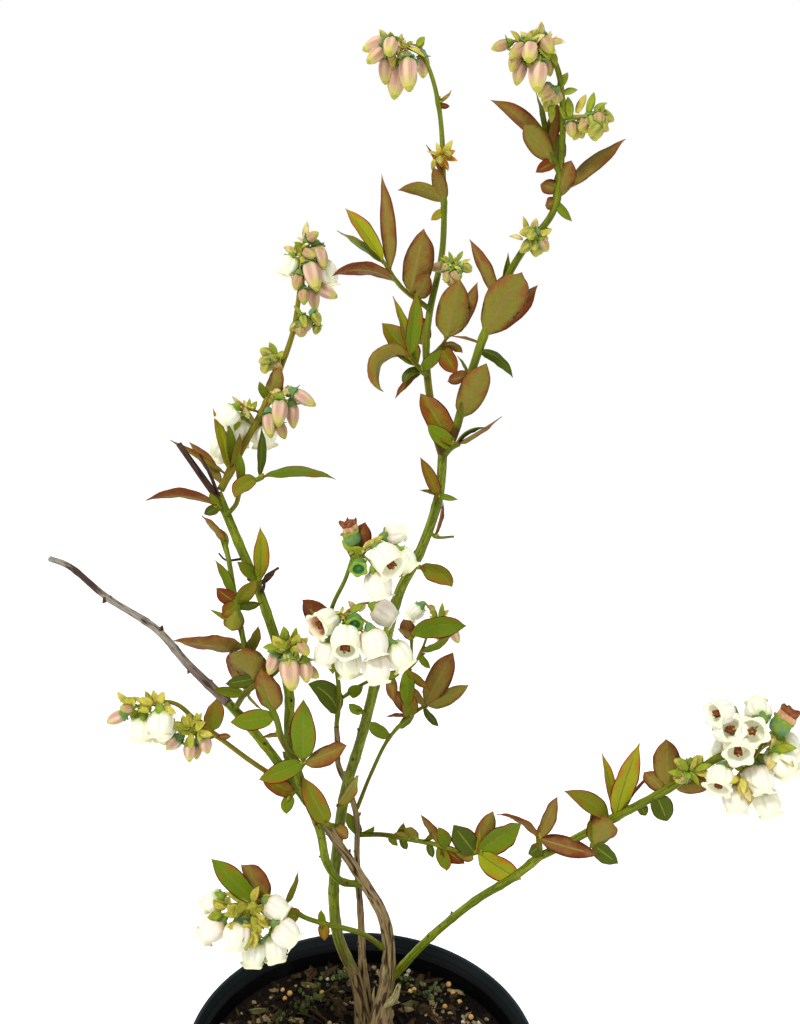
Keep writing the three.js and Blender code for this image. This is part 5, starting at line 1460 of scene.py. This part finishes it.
FINISH_PLANS = {
    leaf_face: {
        "upper_g": ("5f780c", "85600f", "8c9628", 0.42, 0.56),
        "upper_d": ("42540d", "57400d", "646e26", 0.42, 0.66),
        "upper_o": ("6a700e", "835c12", "868528", 0.42, 0.45),
        "upper_b": ("73650e", "794210", "867224", 0.42, 0.3),
        "upper_r": ("6c3f10", "6f2e0f", "845624", 0.42, 0.35),
        "upper_y": ("8c9414", "a96e18", "a1a036", 0.42, 0.45),
        "under_g": ("777d22", "866728", "888934", 0.55, 0.6),
        "under_d": ("56611e", "665020", "6d7434", 0.55, 0.6),
        "under_o": ("7b7428", "865826", "8c803a", 0.55, 0.46),
        "under_b": ("7c6a28", "7c4820", "928040", 0.55, 0.38),
        "under_r": ("7a5428", "6c3416", "84602c", 0.55, 0.35),
        "under_y": ("948e2c", "a1762c", "9f983c", 0.55, 0.45),
    },
    glowing: {"pale_floor": (0.37,)},
    plain_leaf_part: {
        "leaf_margin_red": ("5a210c", "3e170a"), "leaf_margin_green": ("6c6214", "7c4614"),
        "leaf_midrib": ("727d1e", "786c24"), "under_midrib": ("7f7634", "806a34"),
        "stalk_green": ("868d2c", "9a8334"), "stalk_red": ("a15f2a", "9a8136"),
        "nub_brown": ("3a260d", "604116"), "nub_red": ("6f3516", "7f4c1e"), "nub_green": ("737f1e", "888522"),
        "style": ("96a234", "818928"), "stamen_brown": ("58281a", "8c4a28", 900),
        "stamen_yellow": ("a8a452", "8c8a40", 900), "calyx_blue": ("558260", "7c9238"),
        "calyx_green": ("8a9c34", "6a8828"), "bud_tip": ("b4ae4c", "a2a63c"),
        "bract_yellow": ("c8bc50", "b0a040"), "bract_orange": ("c09028", "a9651c"),
        "bract_cream": ("d6ca86", "b49c58"), "bract_lime": ("b3b040", "9a9632"),
        "bract_green": ("929e28", "7f8926"), "fruit_body": ("60893a", "49743c"),
        "fruit_lobe": ("759424", "8aa334"), "fruit_dark": ("24572c", "336a34"),
        "fruit_ring": ("498544", "387236"), "husk_pale": ("cca880", "bc8860"),
        "husk_brown": ("925634", "6c3c24", 700), "moss": ("66703e", "485230"),
        "moss_dark": ("343c1c", "485228"), "feed": ("bc8a44", "ccaa6a", 600, 0.35),
        "grit": ("b0a890", "d0caba"), "fallen": ("77794a", "56502e", 300, 0.6),
    },
    green_bark: {
        "green_twig": ("767f16", "545f0f", "5f3a12", 0.58, 0.66),
        "golden_twig": ("8a7e1e", "6c6416", "5f3a12", 0.56, 0.66),
        "green_bark": ("7a8519", "50600d", "4f380e", 0.6, 0.62),
        "cane_bark": ("7c8620", "525f16", "54401e", 0.57, 0.6, (0.204, 0.176, "84704c")),
        "fork_bark": ("756526", "584618", "493110", 0.42),
    },
    old_bark: {
        "old_bark": ("a89064", "60492e", "3a2812", 0.5, 0.3),
        "dead_bark": ("a29a8a", "857b6c", "4a4036", 0.2, 0, (-0.139, -0.117, -0.082)),
        "dark_bark": ("5e483a", "3c2a22", "20150f", 0.5), "pale_bark": ("d2c68c", "a8985c", "6c5630", 0.35),
    },
    petal: {
        # On the open blossoms the foot and rib colours are greyish greens of painted shade, on the ribs, in
        # the furrows and towards the foot.
        "corolla": ("f2f1e0", "f0f0ce", "c2c98e", "e6e5c8", 0.7),
        "corolla_warm": ("f0ebdc", "ecead0", "dcc8a8", "e8dcc8", 0.7),
        # The throats are pale, and they also glow a little by themselves: a painted glow inside the blossom's
        # hollow.
        "throat": ("e2e2c8", "eeeed8", "b0b670", "d4d4b0", 0.5, 0.1, 0.22),
        "throat_spent": ("cc9a6c", "e4d4b0", "8a5a38", "a86c44", 0.6, 0.1, 0.12),
        "bud_pink": ("c8968a", "c4bc62", "98a05c", "dac29c", 0.75, 0.1),
        "bud_rosy": ("b48a68", "b0a850", "7d893c", "b2a070", 0.6, 0.1),
        "bud_green": ("848c34", "aaa246", "6d7c2c", "aea650", 0.8, 0.1),
    },
    # The pot's own black is made darker still: painted shade for the shadowed inside of its wall.
    plastic: {"pot": ("030404",)},
    earth: {
        "soil": ("030202", "1a130b", 420, 0.0016), "chip_dark": ("0d0a07", "241b12", 500, 0.0008),
        "chip_brown": ("22180d", "4c3a24", 500, 0.0008), "chip_pale": ("66563a", "a08e66", 500, 0.0008),
    },
}
FINISHES = {
    name: maker(name, *plan) for maker, plans in FINISH_PLANS.items() for name, plan in plans.items()
}

BARK_KINDS = ("old_bark", "dead_bark", "dark_bark", "pale_bark", "green_bark", "cane_bark", "fork_bark")
SLOTS = {
    "old_bark": "old_wood", "dead_bark": "dead_wood", "green_bark": "green_bark", "cane_bark": "green_bark",
}

# Old buds on the dead branch: where each one starts, and its lean
DEAD_KNOBS = ((-125, 33, 354.8, -150), (-97.2, 19.5, 344.6, 18), (-81.5, 8.6, 332.8, -160))

# Spots on the soil, to the right and back of the pot's middle, with a size, or a leaf's lean and length
BIG_CHUNKS = (
    (-13, 33, 5), (-20, 62, 4), (-30, 62, 4), (29, 36, 4), (40, -20, 5), (-45, -30, 5), (5, -50, 6),
)
MOSS = (
    (-17, 60, 1), (-24, 43, 1.3), (-33, 34, 1), (33, 50, 1.3), (20, 60, 0.6), (-12, 60, 0.7), (-41, 26, 0.8),
    (30, -40, 1.2), (-25, -52, 1), (-58, -8, 0.9), (58, -2, 0.8),
)
FEED = ((42, 58), (44, 51), (47, 45), (52, 34), (22, 51), (-39, 45), (-43, 48), (-42, 44), (24, 53))
FALLEN = ((-57, 30, 62, 11), (26, 40, -75, 9), (-34, 52, 80, 10), (20, -44, -60, 11), (48, 12, 70, 9))
GRIT = ((20, 64), (-21, 58), (48, 30), (-8, 64))

# ---------------------------------------------------------------- the pieces

draw = random.Random(7)

twigs = Piece("twigs", (
    "green_twig", "golden_twig", "stalk_green", "stalk_red", "nub_brown", "nub_red", "nub_green",
), "green_bark", SHOOTS)
for limb_name, limb_plan in LIMBS.items():
    grow_limb(limb_name, limb_plan)

leaf_finishes = [name for name in FINISHES if name.split("_")[0] in ("upper", "under", "leaf")]
leaves = Piece("leaves", leaf_finishes, "foliage", SHOOTS)
bells = Piece("bells", ("corolla", "corolla_warm", "throat", "throat_spent"), "foliage", SHOOTS)
buds = Piece("buds", ("bud_pink", "bud_rosy", "bud_tip", "bud_green"), "foliage", SHOOTS)
calyxes = Piece("calyxes", ("calyx_blue", "calyx_green"), "foliage", SHOOTS)
scales = Piece("bracts", (
    "bract_yellow", "bract_cream", "bract_green", "bract_orange", "bract_lime",
), "foliage", SHOOTS)
cores = Piece("stamens_and_fruit", (
    "style", "stamen_brown", "stamen_yellow", "calyx_blue", "calyx_green", "fruit_body", "fruit_lobe",
    "fruit_dark", "fruit_ring", "husk_pale", "husk_brown",
), "foliage", SHOOTS)

for shoot_plan in SHOOTS.values():
    grow_shoot(shoot_plan)

make_pot()
make_soil()
make_litter()

for x, y, z, lean in DEAD_KNOBS:
    nub(Vector((x, y, z)), direction(lean, -15), 3.4, "nub_brown")

for piece in (twigs, leaves, bells, buds, calyxes, scales, cores):
    piece.finish()

# ---------------------------------------------------------------- floor, light and camera

FLOOR_RADIUS = 6000
SKY = 0.66  # how bright the sky lights the plant; seen directly it is white
LIGHT_TARGET = Vector((0, 0, 0.3))
LENS = 33.4
CAMERA_SPOT = (0.0054, -0.379, 0.481)
CAMERA_PITCH = math.radians(11.1)  # how far it looks down
CAMERA_ROLL = math.radians(2.65)

ground = bmesh.new()
bmesh.ops.create_circle(ground, cap_ends=True, segments=96, radius=FLOOR_RADIUS)
floor = mesh_object("floor", ground, ["pale_floor"])


def make_sky():
    """A white sky that is seen brighter than it lights."""
    world = bpy.data.worlds.new("studio")
    bpy.context.scene.world = world
    world.use_nodes = True
    nodes, links = world.node_tree.nodes, world.node_tree.links
    sky = nodes["Background"].inputs
    sky["Color"].default_value = WHITE
    seen = nodes.new("ShaderNodeLightPath")
    strength = nodes.new("ShaderNodeMapRange")
    strength.inputs["To Min"].default_value = SKY
    links.new(seen.outputs["Is Camera Ray"], strength.inputs["Value"])
    links.new(strength.outputs["Result"], sky["Strength"])


def soft_light(name, place, size, power):
    data = bpy.data.lights.new(name, "AREA")
    data.shape, data.size, data.energy = "DISK", size, power
    light = bpy.data.objects.new(name, data)
    light.location = place
    light.rotation_euler = (LIGHT_TARGET - Vector(place)).to_track_quat("-Z", "Y").to_euler()
    bpy.context.scene.collection.objects.link(light)


def make_camera():
    """A camera in front of the pot's rim, a little above the middle of the bush, looking slightly down."""
    ahead = Vector((0, math.cos(CAMERA_PITCH), -math.sin(CAMERA_PITCH)))
    up = Vector((0, math.sin(CAMERA_PITCH), math.cos(CAMERA_PITCH)))
    right = Vector((1, 0, 0))
    turn, tip = math.cos(CAMERA_ROLL), math.sin(CAMERA_ROLL)
    right, up = right * turn + up * tip, up * turn - right * tip
    data = bpy.data.cameras.new("camera")
    data.sensor_width, data.lens = 36, LENS
    data.clip_start, data.clip_end = 0.01, 50
    camera = bpy.data.objects.new("camera", data)
    facing = Matrix((right, up, -ahead)).transposed().to_4x4()
    camera.matrix_world = Matrix.Translation(CAMERA_SPOT) @ facing
    bpy.context.scene.collection.objects.link(camera)
    bpy.context.scene.camera = camera


make_sky()
soft_light("key", (-0.7, -1.1, 2.0), 0.45, 31)
soft_light("fill", (1.5, -0.8, 1.0), 0.9, 2)
soft_light("back", (0.4, 1.6, 1.5), 0.9, 4)
make_camera()
bpy.context.scene.view_settings.view_transform = "Standard"
